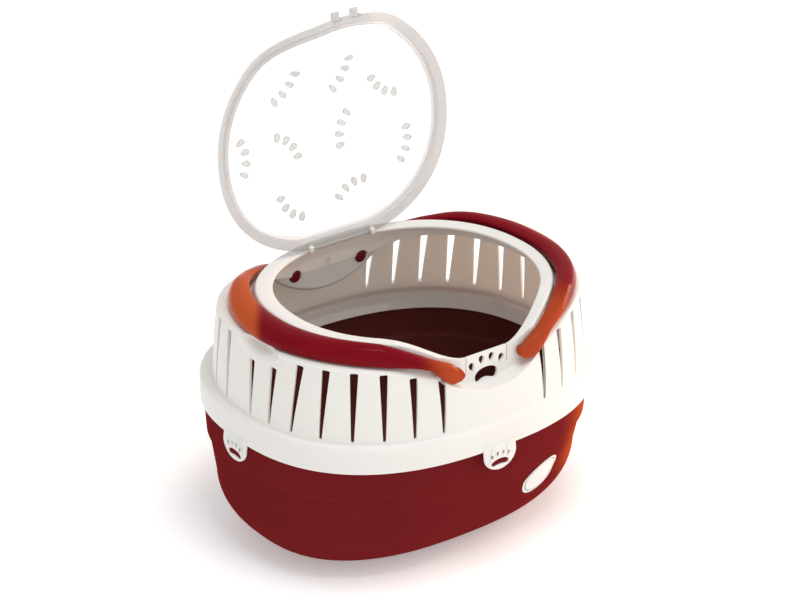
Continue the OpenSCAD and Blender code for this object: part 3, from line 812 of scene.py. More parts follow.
@dataclass
class NameLabel:
    """Blank oval sticker with a keyline, laid on the curve of the tub."""

    tub: Tub
    half_length: float = 20.0
    half_height: float = 11.0
    centre_x: float = 52.0
    height: float = 50.0
    slant: float = 20.0
    facing: float = 22.0
    thickness: float = 0.3

    def on_tub(self, u: float, v: float, lift: float) -> tuple[float, float, float]:
        """Point of the label on the tub.

        Args:
            u: Distance along the label.
            v: Distance up the label.
            lift: Height over the tub's surface.

        Returns:
            The point in millimetres.
        """
        turn, lean = math.radians(self.slant), math.radians(self.facing)
        along, up = u * math.cos(turn) - v * math.sin(turn), u * math.sin(turn) + v * math.cos(turn)
        a, b = self.tub.measures_at(self.height + up)
        x, y = self.centre_x + along * math.cos(lean), -80 + along * math.sin(lean)
        near, far = 0.0, 80.0
        for _ in range(40):
            middle = (near + far) / 2
            px, py = x + middle * math.sin(lean), y - middle * math.cos(lean)
            inside = abs(px / (a + lift)) ** 2.45 + abs(py / (b + lift)) ** 2.45 < 1
            near, far = (middle, far) if inside else (near, middle)
        return x + near * math.sin(lean), y - near * math.cos(lean), self.height + up

    def build(self) -> bpy.types.Object:
        """Builds the sticker as a thin closed sheet."""
        turn = np.radians(np.linspace(0, 360, 96, endpoint=False))
        shares = [(0.02, 1), (0.3, 1), (0.6, 1), (0.84, 1), (0.89, 1), (0.985, 1), (1.0, 0.6), (1.0, -0.3)]
        rings = [np.array([self.on_tub(self.half_length * share * math.cos(t),
                                       self.half_height * share * math.sin(t), self.thickness * lift)
                           for t in turn]) for share, lift in shares]
        label = loft("name_label_sticker", rings, [0, 0, 0, 1, 0, 0, 0])
        finish_shading(label, 50)
        dress(label, LABEL_WHITE.material(), LABEL_LINE.material())
        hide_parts("name_label")
        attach(label, "shell")
        return label


@dataclass
class UpperShell:
    """White shell: band, slatted wall, shelf, rim, handle pockets, hinge ears and latch opening."""

    plan: Plan = PLAN
    slots_per_quarter: int = 7
    slot_pitch: float = 22.8
    front_slot_offset: float = 47.6
    rear_slot_offset: float = 54.2
    slot_top_width: float = 6.1
    slot_bottom_width: float = 2.3
    # Lean of the slots over their angle on the right half; the left half mirrors it.
    slot_leans: tuple[tuple[float, float], ...] = (
        (-55, 0.0), (-47, 0.7), (-39, 2.5), (-30, 5.0), (-20, 8.0), (-10, 4.0), (0, 0.0),
        (10, 1.0), (20, 2.6), (30, 4.1), (39, 4.7), (47, 3.9), (55, 4.5), (63, 2.8))
    slot_bottom: float = 128.5
    slot_corner: float = 1.1
    # Least turn in degrees between a slot counted from the front and one counted from the rear.
    least_slot_gap: float = 7.0
    slit_width: float = 0.9
    pad_height: float = 159.0
    pin_hole_radius: float = 3.08
    pin_pad_radius: float = 8.0
    pin_recess_radius: float = 5.5
    pocket_fillet: float = 2.6
    scoop_middle: tuple[float, float, float] = (144.0, -18.0, 187.0)
    scoop_radii: tuple[float, float, float] = (12.0, 29.0, 9.5)

    def riser_middle(self, rim_edge: np.ndarray) -> np.ndarray:
        """Height at which the riser stops being upright."""
        low = self.plan.wall_top(TURN) + self.plan.shelf_rise
        return low + 0.36 * (rim_edge - low)

    def wall_rings(self, inset: float, foot: float, lift: float) -> list[tuple[np.ndarray, float]]:
        """Rings of the slatted wall between its foot and its top.

        Args:
            inset: Distance inwards from the outer face.
            foot: Height of the foot ring.
            lift: Height of the top ring over the wall's top.

        Returns:
            The rings with their fillet radii.
        """
        p = self.plan
        low = at_height(p.wall_foot.points(grow=-inset), foot)
        middle = at_height(Oval((p.wall_foot.half_length + p.wall_head.half_length) / 2 + 0.7,
                                (p.wall_foot.front + p.wall_head.front) / 2 + 0.9,
                                (p.wall_foot.front + p.wall_head.front) / 2 + 0.9,
                                -4.5, 2.35, 2.35).points(grow=-inset), 152)
        high = at_height(p.wall_head.points(grow=-inset), p.wall_top(TURN) + lift)
        return [(low, 1.0), *bowed(low, middle, high, 7), (high, 1.3)]

    def outside(self) -> bpy.types.Object:
        """Closed solid inside the outer faces."""
        p = self.plan
        top = p.wall_top(TURN) + p.shelf_rise
        level = p.rim_height - p.dip(p.rim.points())
        inner_level = p.rim_height - p.dip(p.opening.points())
        corners = [
            (p.band_ring(1.2, p.band_bottom), 0.0),
            (p.band_ring(0.1, p.band_bottom), 0.7),
            (p.band_ring(0.0, p.band_top - 1), 1.0),
            (p.band_ring(0.9, p.band_top + 0.8), 1.0),
            *self.wall_rings(0.0, p.band_top + 2, 0.0),
            (at_height(p.wall_head.points(grow=-1.6), top - 0.4), 1.0),
            (at_height(p.riser.points(), top), 1.6),
            (at_height(p.riser.points(), self.riser_middle(level - 1)), 3.0),
            (at_height(p.rim.points(), level - 1), 0.5),
            (at_height(p.rim.points(grow=-1), level), 0.6),
            (at_height(p.opening.points(grow=-3), inner_level), 0.0),
            (at_height(p.opening.points(grow=-6), p.rim_height - p.front_dip - 8), 0.0),
        ]
        return loft("shell_outside", softened(corners))

    def cavity(self) -> bpy.types.Object:
        """Closed solid that fills the inside and the opening."""
        p = self.plan
        wall = p.wall
        top = p.wall_top(TURN) + p.shelf_rise
        level = p.rim_height - p.dip(p.rim.points())
        inner_level = p.rim_height - p.dip(p.opening.points())
        corners = [
            (p.band_ring(wall, p.band_bottom - 1), 0.0),
            (p.band_ring(wall, p.tub_height), 0.0),
            (p.band_ring(2.2 * wall, p.tub_height + 0.01), 0.0),
            *self.wall_rings(wall, p.band_top - 1, -0.6),
            (at_height(p.riser.points(grow=-wall), top - wall), 1.0),
            (at_height(p.riser.points(grow=-wall), self.riser_middle(level - 1) - wall), 2.0),
            (at_height(p.rim.points(grow=-wall), level - wall - 0.2), 0.6),
            (at_height(p.opening.points(), inner_level - wall), 0.4),
            (at_height(p.opening.points(), inner_level - 0.8), 0.0),
            (at_height(p.opening.points(grow=0.25), inner_level - 0.27), 0.0),
            (at_height(p.opening.points(grow=0.85), inner_level + 0.05), 0.0),
            (at_height(p.opening.points(grow=0.85), p.rim_height + 20), 0.0),
        ]
        rings = softened(corners)
        return loft("shell_cavity", rings, [1] * (len(rings) - 1))

    def round_pocket(self, radius: float, floor: float, fillet: float, rear: bool) -> bpy.types.Object:
        """Round tool for a handle pocket, with a fillet round its floor.

        Args:
            radius: Radius of the pocket.
            floor: Distance of its floor from the middle.
            fillet: Radius of the fillet.
            rear: True for the pocket at the back.

        Returns:
            The tool.
        """
        arc = [(radius - fillet * (1 - math.sin(a)), floor + fillet * (1 - math.cos(a)))
               for a in np.radians(np.linspace(0, 90, 7))]
        facing = Matrix.Rotation(math.radians(-90 if rear else 90), 4, "X")
        return turned("pocket", [*arc, (radius, 200.0)], moved(0, 0, self.plan.pocket_centre) @ facing, 288)

    def scoop(self, side: int, grow: float) -> bpy.types.Object:
        """Rounded tool for the finger scoop under one bow."""
        rx, ry, rz = (radius + grow for radius in self.scoop_radii)
        x, y, z = self.scoop_middle
        turn = np.linspace(0, 2 * np.pi, 64, endpoint=False)
        circle = np.column_stack([np.cos(turn), np.sin(turn)])
        rings = [at_height((side * x, y) + circle * (rx * math.sin(a), ry * math.sin(a)),
                           z - rz * math.cos(a)) for a in np.radians(np.linspace(3, 90, 16))]
        return loft("scoop", [*rings, rings[-1] + (0.0, 0.0, 6.0)])

    def slot_head(self, angle: float, y: float) -> float:
        """Height of a slot's upper end: under the shelf, and under the finger scoop where there is one."""
        head = float(self.plan.wall_top(angle)) - 0.9
        _, ry, rz = self.scoop_radii
        across = abs(y - self.scoop_middle[1]) / (ry + self.plan.wall)
        if across < 1:
            head = min(head, self.scoop_middle[2] - (rz + self.plan.wall) * math.sqrt(1 - across ** 2) - 1.0)
        return head

    def skirt(self) -> bpy.types.Object:
        """Thin skirt that hangs inside the tub's collar and covers the joint."""
        # Half length, half width and height of each ring.
        outer = [(144.5, 119.4, 103.0), (144.8, 119.7, 103.6), (144.8, 123.3, 108.4), (144.8, 123.3, 115.5),
                 (147.0, 125.5, 115.6), (147.0, 125.5, 118.0)]
        inner = [(143.3, 118.2, 101.0), (143.3, 118.2, 103.4), (143.6, 122.1, 108.8), (143.6, 122.1, 120.0)]
        skirt, inside = (
            loft(name, [at_height(Oval(a, b, b).points(), z) for a, b, z in rows], [1] * (len(rows) - 1))
            for name, rows in (("skirt", outer), ("skirt_inside", inner)))
        carve(skirt, inside)
        return skirt

    def body(self) -> bpy.types.Object:
        """Shell before any of its openings is cut, but with its pockets and finger scoops."""
        p = self.plan
        shell = self.outside()
        cavity = self.cavity()
        for side in (-1, 1):
            carve(shell, self.scoop(side, 0.0))
            carve(cavity, self.scoop(side, p.wall))
        for rear, floor in ((False, p.front_floor), (True, p.rear_floor)):
            carve(shell, self.round_pocket(p.pocket_radius, floor, self.pocket_fillet, rear))
            carve(cavity, self.round_pocket(p.pocket_radius + p.wall, floor - p.wall - LINING_SHIFT,
                                            self.pocket_fillet + p.wall * 0.6, rear))
        carve(shell, cavity)
        return shell

    def slot_angles(self) -> list[float]:
        """Angles of the slots on the right half, stepped evenly along the foot of the wall."""
        fine = np.linspace(-90.0, 90.0, 3601)
        foot = self.plan.wall_foot.points(fine)
        run = np.concatenate([[0.0], np.cumsum(np.linalg.norm(np.diff(foot, axis=0), axis=1))])
        steps = np.arange(self.slots_per_quarter + 1) * self.slot_pitch
        front = np.interp(self.front_slot_offset + steps, run, fine).tolist()
        rear = np.interp(run[-1] - self.rear_slot_offset - steps, run, fine).tolist()
        return front + [t for t in rear if t > front[-1] + self.least_slot_gap]

    def slot(self, angle: float) -> bpy.types.Object:
        """Tapered tool for one slot, round at its foot and wide at its top."""
        p = self.plan
        head, foot, ahead = (oval.points(np.array([angle + turn]))[0] for oval, turn in (
            (p.wall_head, 0.0), (p.wall_foot, 0.0), (p.wall_head, 0.5)))
        heading = math.atan2(ahead[1] - head[1], ahead[0] - head[0])
        height = self.slot_head(angle, head[1]) - self.slot_bottom
        r, half = self.slot_bottom_width / 2, self.slot_top_width / 2
        corner = min(self.slot_corner, half - 0.2)
        foot_arc = [(r * math.cos(a), r + r * math.sin(a)) for a in np.radians(np.linspace(180, 360, 9))]
        right = [(half - corner * (1 - math.cos(a)), height - corner * (1 - math.sin(a)))
                 for a in np.radians(np.linspace(0, 90, 4))]
        outline = np.array([*foot_arc, *right, *[(-x, y) for x, y in right[::-1]]])
        middle = (head + foot) / 2
        left = angle > 90
        lean = float(np.interp(180 - angle if left else angle, *zip(*self.slot_leans)))
        outline = turned_flat(outline - (0.0, height / 2), -lean if left else lean, 0.0, height / 2)
        place = moved(middle[0], middle[1], self.slot_bottom) @ Matrix.Rotation(heading, 4, "Z") @ FROM_FRONT
        return slab("slot", outline, place, -9, 9)

    def latch_pad(self) -> bpy.types.Object:
        """Tool for the paw's pad, which the shell and the latch tongue share."""
        place = moved(0, -self.plan.front_floor, self.pad_height) @ FROM_FRONT
        return slab("latch_pad", kidney(10.6, 6.2, 5.0), place, -8, 8)

    def round_tools(self) -> list[bpy.types.Object]:
        """Tools for the pin holes and the recesses of the rear pins."""
        p = self.plan
        hole, recess = self.pin_hole_radius, self.pin_recess_radius
        tools = []
        for side in (-1, 1):
            for y in (-p.front_floor, p.rear_floor):
                place = moved(side * p.pivot_x, y, p.pivot_z) @ FROM_FRONT
                tools.append(turned("pin_hole", [(hole, -3), (hole, 3)], place))
            place = moved(side * p.pivot_x, p.rear_floor - p.wall, p.pivot_z) @ FROM_FRONT
            tools.append(turned("pin_recess", [(recess, 0.0), (recess, 4.0), (recess + 4.0, 8.0)], place))
        return tools

    def build(self) -> tuple[bpy.types.Object, bpy.types.Object]:
        """Builds the shell.

        Returns:
            The finished shell and an uncut copy of its body for the latch tongue.
        """
        p = self.plan
        shell = self.body()
        uncut = copied(shell, "tongue_stock")
        pad = self.pin_pad_radius
        extras = []
        for side in (-1, 1):
            x = side * (p.barrel_half_width + 0.4 + p.ear_width / 2)
            extras.append(block("ear", (x - p.ear_width / 2, p.hinge_y - 2.4, p.rim_height - 1.6),
                                (x + p.ear_width / 2, p.hinge_y + 6, p.hinge_z + 2.4), 0.7))
            place = moved(side * p.pivot_x, p.rear_floor, p.pivot_z) @ FROM_FRONT
            extras.append(turned("pin_pad", [(pad, 0.01), (pad, p.wall)], place))
        extras.append(self.skirt())
        carve(shell, joined("extras", extras), Carve.JOIN)
        cuts = [self.slot(t) for angle in self.slot_angles() for t in (angle, 180 - angle)]
        cuts += self.round_tools()
        half = p.tongue_half_width + self.slit_width
        cuts.append(block("tongue_gap", (-half, -p.front_floor - 4, p.tongue_root - 1),
                          (half, -p.front_floor + 5, p.tongue_root + 40)))
        cuts.append(block("barrel_gap", (-p.barrel_half_width - 0.4, p.hinge_y - 8, p.rim_height - 5),
                          (p.barrel_half_width + 0.4, p.hinge_y + 2.6, p.rim_height + 15)))
        carve(shell, joined("cuts", cuts))
        carve(shell, self.latch_pad())
        shell.name = "upper_shell_moulding"
        finish_shading(shell)
        # The inner face takes the warmer white: painted warm light and painted glow.
        dress(shell, SHELL_WHITE.material(), SHELL_INSIDE.material())
        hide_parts("upper_shell")
        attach(shell, "shell")
        return shell, uncut


@dataclass
class LatchTongue:
    """Springy tongue in the middle of the front, with four toe holes."""

    stock: bpy.types.Object
    pad: bpy.types.Object
    plan: Plan = PLAN
    paw_height: float = 165.8
    toe_spread: float = 9.0
    toe_half_width: float = 2.9
    toe_half_height: float = 3.8

    def build(self) -> bpy.types.Object:
        """Cuts the tongue out of the shell's own body, so that their faces run on."""
        p = self.plan
        tongue = self.stock
        half, seam = p.tongue_half_width, p.tongue_root - 1
        carve(tongue, block("keep", (-half, -p.front_floor - 4, seam), (half, -p.front_floor + 5, seam + 40)),
              Carve.KEEP)
        place = moved(0, -p.front_floor, self.paw_height) @ FROM_FRONT
        toes = paw_toes(self.toe_spread, 6.3, self.toe_half_width, self.toe_half_height, 0.5)
        carve(tongue, joined("toes", [slab("toe", toe, place, -8, 8) for toe in toes]))
        carve(tongue, self.pad)
        tongue.name = "latch_tongue_moulding"
        finish_shading(tongue)
        dress(tongue, SHELL_WHITE.material(), SHELL_INSIDE.material())
        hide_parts("latch_tongue")
        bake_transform(tongue)
        return tongue


@dataclass
class Clip:
    """Clip that hangs from the band over one of the tub's lugs, with a paw cut into it."""

    side: Side
    plan: Plan = PLAN
    half_width: float = 15.0
    bottom: float = 87.0

    def outline(self, shrink: float) -> np.ndarray:
        """Front view of the plate, from the hinge line down round its lower end."""
        p = self.plan
        drop = p.clip_root - self.bottom
        half = self.half_width - shrink
        arc = [(half * math.cos(a), -drop * 0.42 + (drop * 0.58 - shrink) * math.sin(a))
               for a in np.radians(np.linspace(180, 360, 41))]
        return np.array([*arc, (half, 0.0), (half * 0.5, 0.0), (-half * 0.5, 0.0), (-half, 0.0)])

    def build(self) -> bpy.types.Object:
        """Builds the clip; its upper end melts into the band."""
        p = self.plan
        half_band = p.band_b if self.side in (Side.FRONT, Side.REAR) else p.band_a
        face = half_band + p.clip_proud
        levels = [(0.5, face - p.wall), (0.0, face - p.wall + 0.5), (0.0, face - 0.9), (0.15, face - 0.45),
                  (0.45, face - 0.15), (0.9, face)]
        name = self.side.name.lower()
        clip = loft(f"{name}_clip_plate", [at_height(self.outline(s), z) for s, z in levels])
        pad = kidney(8, 3.6)
        pad_rings = [at_height(pad, face - 4), at_height(pad, face - 0.7), at_height(pad * 1.12, face + 0.1),
                     at_height(pad * 1.14, face + 2)]
        cuts = [loft("pad", pad_rings)]
        for toe in paw_toes(5, 8.2, 1.1, 1.8, 0.5):
            centre = toe.mean(axis=0)
            cuts.append(loft("toe", [at_height(centre + (toe - centre) * 0.95, face - 4),
                                     at_height(centre + (toe - centre) * 1.2, face + 0.2),
                                     at_height(centre + (toe - centre) * 1.2, face + 2)]))
        for cut in cuts:
            cut.data.transform(moved(0, p.lug_height - p.clip_root, 0))
        carve(clip, joined("paw", cuts))
        # The upper end sinks into the band, so that clip and band look like one moulding.
        points = np.zeros(len(clip.data.vertices) * 3)
        clip.data.vertices.foreach_get("co", points)
        points = points.reshape(-1, 3)
        sunk = smooth((points[:, 1] / MM + 6.5) / 6.5) * (p.clip_proud + 0.25)
        points[:, 2] -= sunk * MM
        clip.data.vertices.foreach_set("co", points.ravel())
        clip.data.transform(self.side.turn @ moved(0, 0, p.clip_root) @ FROM_FRONT)
        finish_shading(clip, 38)
        dress(clip, SHELL_WHITE.material())
        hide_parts(f"{name}_clip")
        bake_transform(clip)
        return clip


@dataclass
class Handle:
    """Glossy bow that lies round one end of the rim and turns on two pins."""

    side: int
    plan: Plan = PLAN
    grip_width: float = 19.2
    proud: float = 3.6
    arm_thickness: float = 7.5
    tip_radius: float = 5.0
    arm_clearance: float = 0.6
    straight_end: float = 42.0
    curve_start: float = 78.0
    half_length: float = 117.2
    front_half: float = 109.0
    soft: float = 1.7
    section_steps: int = 5
    pin_radius: float = 3.0
    pin_head_radius: float = 5.2
    pin_head_height: float = 1.8
    pin_gap: float = 0.3
    pin_depth: float = 3.8
    turns: np.ndarray = field(default_factory=lambda: np.arange(-72.0, 72.1, 1.5))

    @property
    def rear_arm(self) -> float:
        """Y of the inner face of the rear arm."""
        return self.plan.rear_floor + self.arm_clearance

    def rear_oval_y(self, x: float) -> float:
        """Y of the rear half of the bow's oval."""
        half = self.rear_arm - self.plan.rim_middle
        return self.plan.rim_middle + half * max(1 - (x / self.half_length) ** 2.3, 0.0) ** (1 / 2.3)

    def rear_path_y(self, x: float) -> float:
        """Y of the rear path: straight beside the pocket, then bending into the oval."""
        if x <= self.straight_end:
            return self.rear_arm
        if x >= self.curve_start:
            return self.rear_oval_y(x)
        run = self.curve_start - self.straight_end
        f = (x - self.straight_end) / run
        slope = self.rear_oval_y(self.curve_start + 0.5) - self.rear_oval_y(self.curve_start - 0.5)
        share = 3 * f * f - 2 * f ** 3
        return (self.rear_arm * (1 - share) + self.rear_oval_y(self.curve_start) * share
                + run * slope * (f ** 3 - f * f))

    def path(self, turn: float) -> np.ndarray:
        """Plan point of the bow's inner edge at an angle in degrees."""
        oval = Oval(self.half_length, self.front_half, self.rear_arm - self.plan.rim_middle,
                    self.plan.rim_middle, 2.0, 2.3)
        x, y = oval.points(np.array([turn]))[0]
        if y < self.plan.rim_middle:
            limit = self.plan.front_floor + 2.4
            return np.array([x, self.soft * math.log(math.exp(y / self.soft) + math.exp(-limit / self.soft))])
        return np.array([x, self.rear_path_y(x)])

    def low(self, turn: float, x: float) -> float:
        """Height of the lower edge."""
        p = self.plan
        rest = float(p.wall_top(turn)) + p.shelf_rise + 0.5
        if turn < 0:
            edge = rest
            if x < p.pocket_radius + p.wall:
                edge = p.pocket_centre - math.sqrt(max(p.pocket_radius ** 2 - x * x, 0)) + 0.8
            return max(p.pivot_z - self.tip_radius, min(rest, edge))
        f = float(smooth((x - p.pivot_x - 1) / (self.straight_end - p.pivot_x)))
        return (p.pivot_z - self.tip_radius) * (1 - f) + rest * f

    def top(self, turn: float, x: float) -> float:
        """Height of the upper edge."""
        if turn < 0:
            proud = self.proud * float(smooth((x - 50) / 45))
            return self.plan.rim_height - 0.4 + proud - 23 * min(max((82 - x) / 56, 0), 1) ** 1.3
        # The bow stays low where it would meet the open lid when it is lifted.
        proud = self.proud * float(smooth((x - 82) / 24))
        return self.plan.rim_height - 0.4 + proud - 22.7 * min(max((96 - x) / 64.5, 0), 1) ** 1.6

    def section(self, origin: np.ndarray, outward: np.ndarray, width: float, low: float, top: float,
                slant: float) -> np.ndarray:
        """Closed smooth section of the bow.

        Args:
            origin: Plan point of the inner edge.
            outward: Plan direction away from the keeper.
            width: Width of the section.
            low: Height of its lower edge.
            top: Height of its upper edge.
            slant: How far the inner lower corner stands out.

        Returns:
            The section's points in space.
        """
        h = top - low
        corners = np.array([
            [slant + 0.4, low + h * 0.12], [slant + 1.3, low], [width * 0.88, low], [width, low + h * 0.2],
            [width * 0.98, low + h * 0.52], [width * 0.78, low + h * 0.88], [width * 0.42, top],
            [width * 0.12, top - h * 0.04], [0.0, top - h * 0.2],
        ])
        curve = curve_through(corners, self.section_steps)
        return np.column_stack([origin + outward * curve[:, :1], curve[:, 1]])

    def ring(self, turn: float) -> np.ndarray:
        """Section of the bow at an angle in degrees."""
        point = self.path(turn)
        way = self.path(turn + 0.6) - self.path(turn - 0.6)
        outward = np.array([way[1], -way[0]]) / np.linalg.norm(way)
        swell = math.cos(math.radians(turn)) ** 2
        width = self.arm_thickness + (self.grip_width - self.arm_thickness) * swell
        slant = 3 * (1 - float(smooth((abs(turn) - 60) / 12)))
        reach = point[0] + outward[0] * width
        return self.section(point, outward, width, self.low(turn, reach), self.top(turn, point[0]), slant)

    def tip(self, angle: float, y: float, direction: float) -> np.ndarray:
        """Section near the round end of an arm, by its angle in degrees."""
        p = self.plan
        half = self.tip_radius * math.cos(math.radians(angle))
        x = p.pivot_x - self.tip_radius * math.sin(math.radians(angle))
        return self.section(np.array([x, y]), np.array([0.0, direction]), self.arm_thickness,
                            p.pivot_z - half, p.pivot_z + half, 0)

    @property
    def name(self) -> str:
        """Which of the two it is."""
        return "right" if self.side > 0 else "left"

    def build(self) -> bpy.types.Object:
        """Builds the bow; the left one is the right one mirrored."""
        front_arm = -(self.plan.front_floor + 1.9)
        rounding = np.linspace(0, 84, 11)
        rings = [self.tip(a, front_arm, -1.0) for a in rounding[::-1]]
        rings += [self.ring(t) for t in self.turns]
        rings += [self.tip(a, self.rear_arm, 1.0) for a in rounding]
        if self.side < 0:
            rings = [ring * (-1, 1, 1) for ring in rings]
        bow = loft(f"{self.name}_handle_bow", rings)
        finish_shading(bow, 60)
        dress(bow, (RIGHT_CRIMSON if self.side > 0 else LEFT_CRIMSON).material())
        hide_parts(f"{self.name}_handle")
        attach(bow, f"{self.name}_handle_body")
        return bow

    def build_pins(self) -> list[bpy.types.Object]:
        """Builds the two pivot pins with their low domed heads."""
        p = self.plan
        head, thick = self.pin_head_radius, self.pin_head_height
        # Radius and height: the domed head, and then the shaft that goes through the wall into the arm.
        profile = [(0.4, -thick), (head * 0.55, -thick + 0.08), (head * 0.82, -thick + 0.42),
                   (head * 0.96, -thick + 0.95), (head, -thick + 1.3), (head, -0.15), (head - 0.15, 0.0),
                   (self.pin_radius, 0.0), (self.pin_radius, p.wall + self.pin_gap + self.pin_depth)]
        pins = []
        for end, floor, direction in (("front", -p.front_floor, -1), ("rear", p.rear_floor, 1)):
            lining = floor - direction * p.wall
            place = (moved(self.side * p.pivot_x, lining - direction * self.pin_gap, p.pivot_z)
                     @ Matrix.Rotation(math.radians(-direction * 90), 4, "X"))
            pin = turned(f"{end}_{self.name}_pin_turned", profile, place, 40)
            finish_shading(pin, 40)
            dress(pin, PIN_RED.material())
            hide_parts(f"{end}_{self.name}_pin")
            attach(pin, f"{self.name}_handle_body")
            pins.append(pin)
        return pins


@dataclass(frozen=True)
class PawVent:
    """Place and heading of one paw of air vents on the lid."""

    x: float
    y: float
    heading: float


@dataclass
class Lid:
    """Clear lid, shaped closed and then turned open about its hinge."""

    plan: Plan = PLAN
    open_angle: float = 94.5
    half_length: float = 107.0
    rear: float = 91.0
    border: float = 9.0
    rise: float = 8.2
    sheet: float = 1.8
    gap: float = 0.4
    toe_step: float = 19.2
    toe_circle: float = 27.0
    toe_half_width: float = 2.5
    toe_half_length: float = 3.8
    hook_offset: float = 8.5
    hook_half_width: float = 3.5
    # Places as read off the photograph, laid on the closed lid.
    paws: tuple[PawVent, ...] = (
        PawVent(-37.2, -57.5, 41), PawVent(14.3, -58.5, 24), PawVent(51.8, -38, 127),
        PawVent(12.2, -13.9, -163), PawVent(72.5, 12.2, 15), PawVent(-77.4, -12, -3),
        PawVent(-36.4, -12.9, -43), PawVent(-40.1, 39.6, 136), PawVent(17.6, 33.8, -112))

    def outline(self, inset: float) -> np.ndarray:
        """Plan of the lid at a distance inside its edge, straight beside the hinge."""
        p = self.plan
        front = p.front_floor + 2.3 + p.opening_middle
        oval = Oval(self.half_length, front, self.rear, p.opening_middle, 2.0, 2.3)
        flat = oval.points(grow=-inset)
        limit = p.hinge_y - inset * 0.9
        flat[:, 1] = np.minimum(flat[:, 1], limit)
        return flat

    def edge_drop(self) -> np.ndarray:
        """Drop of the lid's border, which follows the rim."""
        return self.plan.dip(self.outline(0.0))

    def border_ring(self, inset: float, lift: float) -> np.ndarray:
        """Ring of the border or of the step beside it."""
        return at_height(self.outline(inset), self.plan.rim_height + self.gap + lift - self.edge_drop())

    def plate_ring(self, share: float, lift: float) -> np.ndarray:
        """Ring of the plate, whose middle is nearly flat."""
        flat = self.outline(self.border + 3)
        middle = self.plan.opening_middle
        flat = np.column_stack([flat[:, 0] * share, middle + (flat[:, 1] - middle) * share])
        crown = self.rise + 1.6 * (1 - share * share) ** 0.7
        drop = smooth((share - 0.42) / 0.58) * self.edge_drop()
        return at_height(flat, self.plan.rim_height + self.gap + crown + lift - drop)

    def sheet_body(self) -> bpy.types.Object:
        """Sheet with its border, step and crowned plate."""
        shares = [0.04, 0.15, 0.3, 0.42, 0.52, 0.61, 0.7, 0.78, 0.86, 0.93]
        under = [(self.plate_ring(s, 0.0), 0.0, 1) for s in shares]
        under += [(self.plate_ring(1.0, 0.0), 0.6, 1),
                  (self.border_ring(self.border + 0.6, self.rise - 1.6), 1.0, 0),
                  (self.border_ring(self.border, 0.0), 0.7, 0)]
        edge = [(self.border_ring(0.0, 0.0), 0.35, 2), (self.border_ring(0.0, self.sheet), 0.5, 0)]
        over = [(self.border_ring(self.border - 1.4, self.sheet), 1.2, 0),
                (self.border_ring(self.border - 1.0, self.rise + 0.2), 1.4, 1),
                (self.border_ring(self.border + 1.2, self.rise + self.sheet), 1.4, 1)]
        over += [(self.plate_ring(s, self.sheet), 0.0, 1) for s in shares[::-1]]
        rows = under + edge + over
        marks = []
        for k, (_, radius, mark) in enumerate(rows[:-1]):
            marks += [mark] * (4 if radius and k else 1)
        rings = softened([(ring, radius) for ring, radius, _ in rows])
        return loft("lid_clear_sheet", rings, marks)

    def vents(self, grow: float) -> bpy.types.Object:
        """Tools for the toe-shaped air vents, or with a negative growth for the grey-green webs that fill
        them, painted shade of the vent walls.
        """
        tools = []
        for paw in self.paws:
            start = math.radians(paw.heading)
            for k in (-1.5, -0.5, 0.5, 1.5):
                turn = paw.heading + k * self.toe_step
                a = math.radians(turn)
                x = paw.x + self.toe_circle * (math.cos(a) - 0.97 * math.cos(start))
                y = paw.y + self.toe_circle * (math.sin(a) - 0.97 * math.sin(start))
                toe = turned_flat(teardrop(self.toe_half_width + grow, self.toe_half_length + grow, 0.25),
                                  turn - 90, x, y)
                tools.append(slab("vent", toe, Matrix.Identity(4), self.plan.rim_height - 20,
                                  self.plan.rim_height + 40, 2))
        return joined("vents", tools)

    def fittings(self) -> bpy.types.Object:
        """Hinge barrel, stubs and the two catch hooks."""
        p = self.plan
        across = Matrix.Rotation(math.radians(90), 4, "Y")
        half, stub = p.barrel_half_width, p.barrel_half_width + p.ear_width - 0.4
        profile = [(p.stub_radius - 0.2, -stub), (p.stub_radius, -stub + 0.2), (p.stub_radius, -half),
                   (1.8, -half), (2.0, -half + 0.2), (2.0, half - 0.2), (1.8, half), (p.stub_radius, half),
                   (p.stub_radius, stub - 0.2), (p.stub_radius - 0.2, stub)]
        parts = [turned("barrel", profile, moved(0, p.hinge_y, p.hinge_z) @ across, 32)]
        level = p.rim_height - p.front_dip + self.gap
        for side in (-1, 1):
            x = side * self.hook_offset
            low, high, face = x - self.hook_half_width, x + self.hook_half_width, -p.front_floor
            hook = block("hook", (low, face - 7, level), (high, face + 1, level + self.sheet), 0.35)
            heel = block("heel", (low, face - 2.4, level - 4), (high, face - 0.6, level + 0.5), 0.3)
            carve(hook, heel, Carve.JOIN)
            parts.append(hook)
        return joined("fittings", parts)

    def build(self) -> bpy.types.Object:
        """Builds the lid and turns it open."""
        p = self.plan
        lid = self.sheet_body()
        x = p.barrel_half_width + p.ear_width / 2 + 0.5
        notches = [block("notch", (side * x - p.ear_width / 2 - 0.5, p.hinge_y - 4.2, 150),
                         (side * x + p.ear_width / 2 + 0.5, p.hinge_y + 15, 250)) for side in (-1, 1)]
        carve(lid, joined("notches", notches))
        carve(lid, self.fittings(), Carve.JOIN)
        # Grey-green webs fill the vents: painted shade of the vent walls.
        webs = copied(lid, "webs")
        carve(webs, self.vents(-0.1), Carve.KEEP)
        webs.data.polygons.foreach_set("material_index", [2] * len(webs.data.polygons))
        carve(lid, self.vents(0.0))
        lid = joined("lid_clear_sheet", [lid, webs])
        hinge = moved(0, p.hinge_y, p.hinge_z)
        lid.data.transform(hinge @ Matrix.Rotation(math.radians(-self.open_angle), 4, "X") @ hinge.inverted())
        finish_shading(lid)
        dress(lid, LID_BORDER.material(), LID_PLATE.material(), LID_EDGE.material())
        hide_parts("lid")
        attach(lid, "lid_body")
        return lid


# Studio


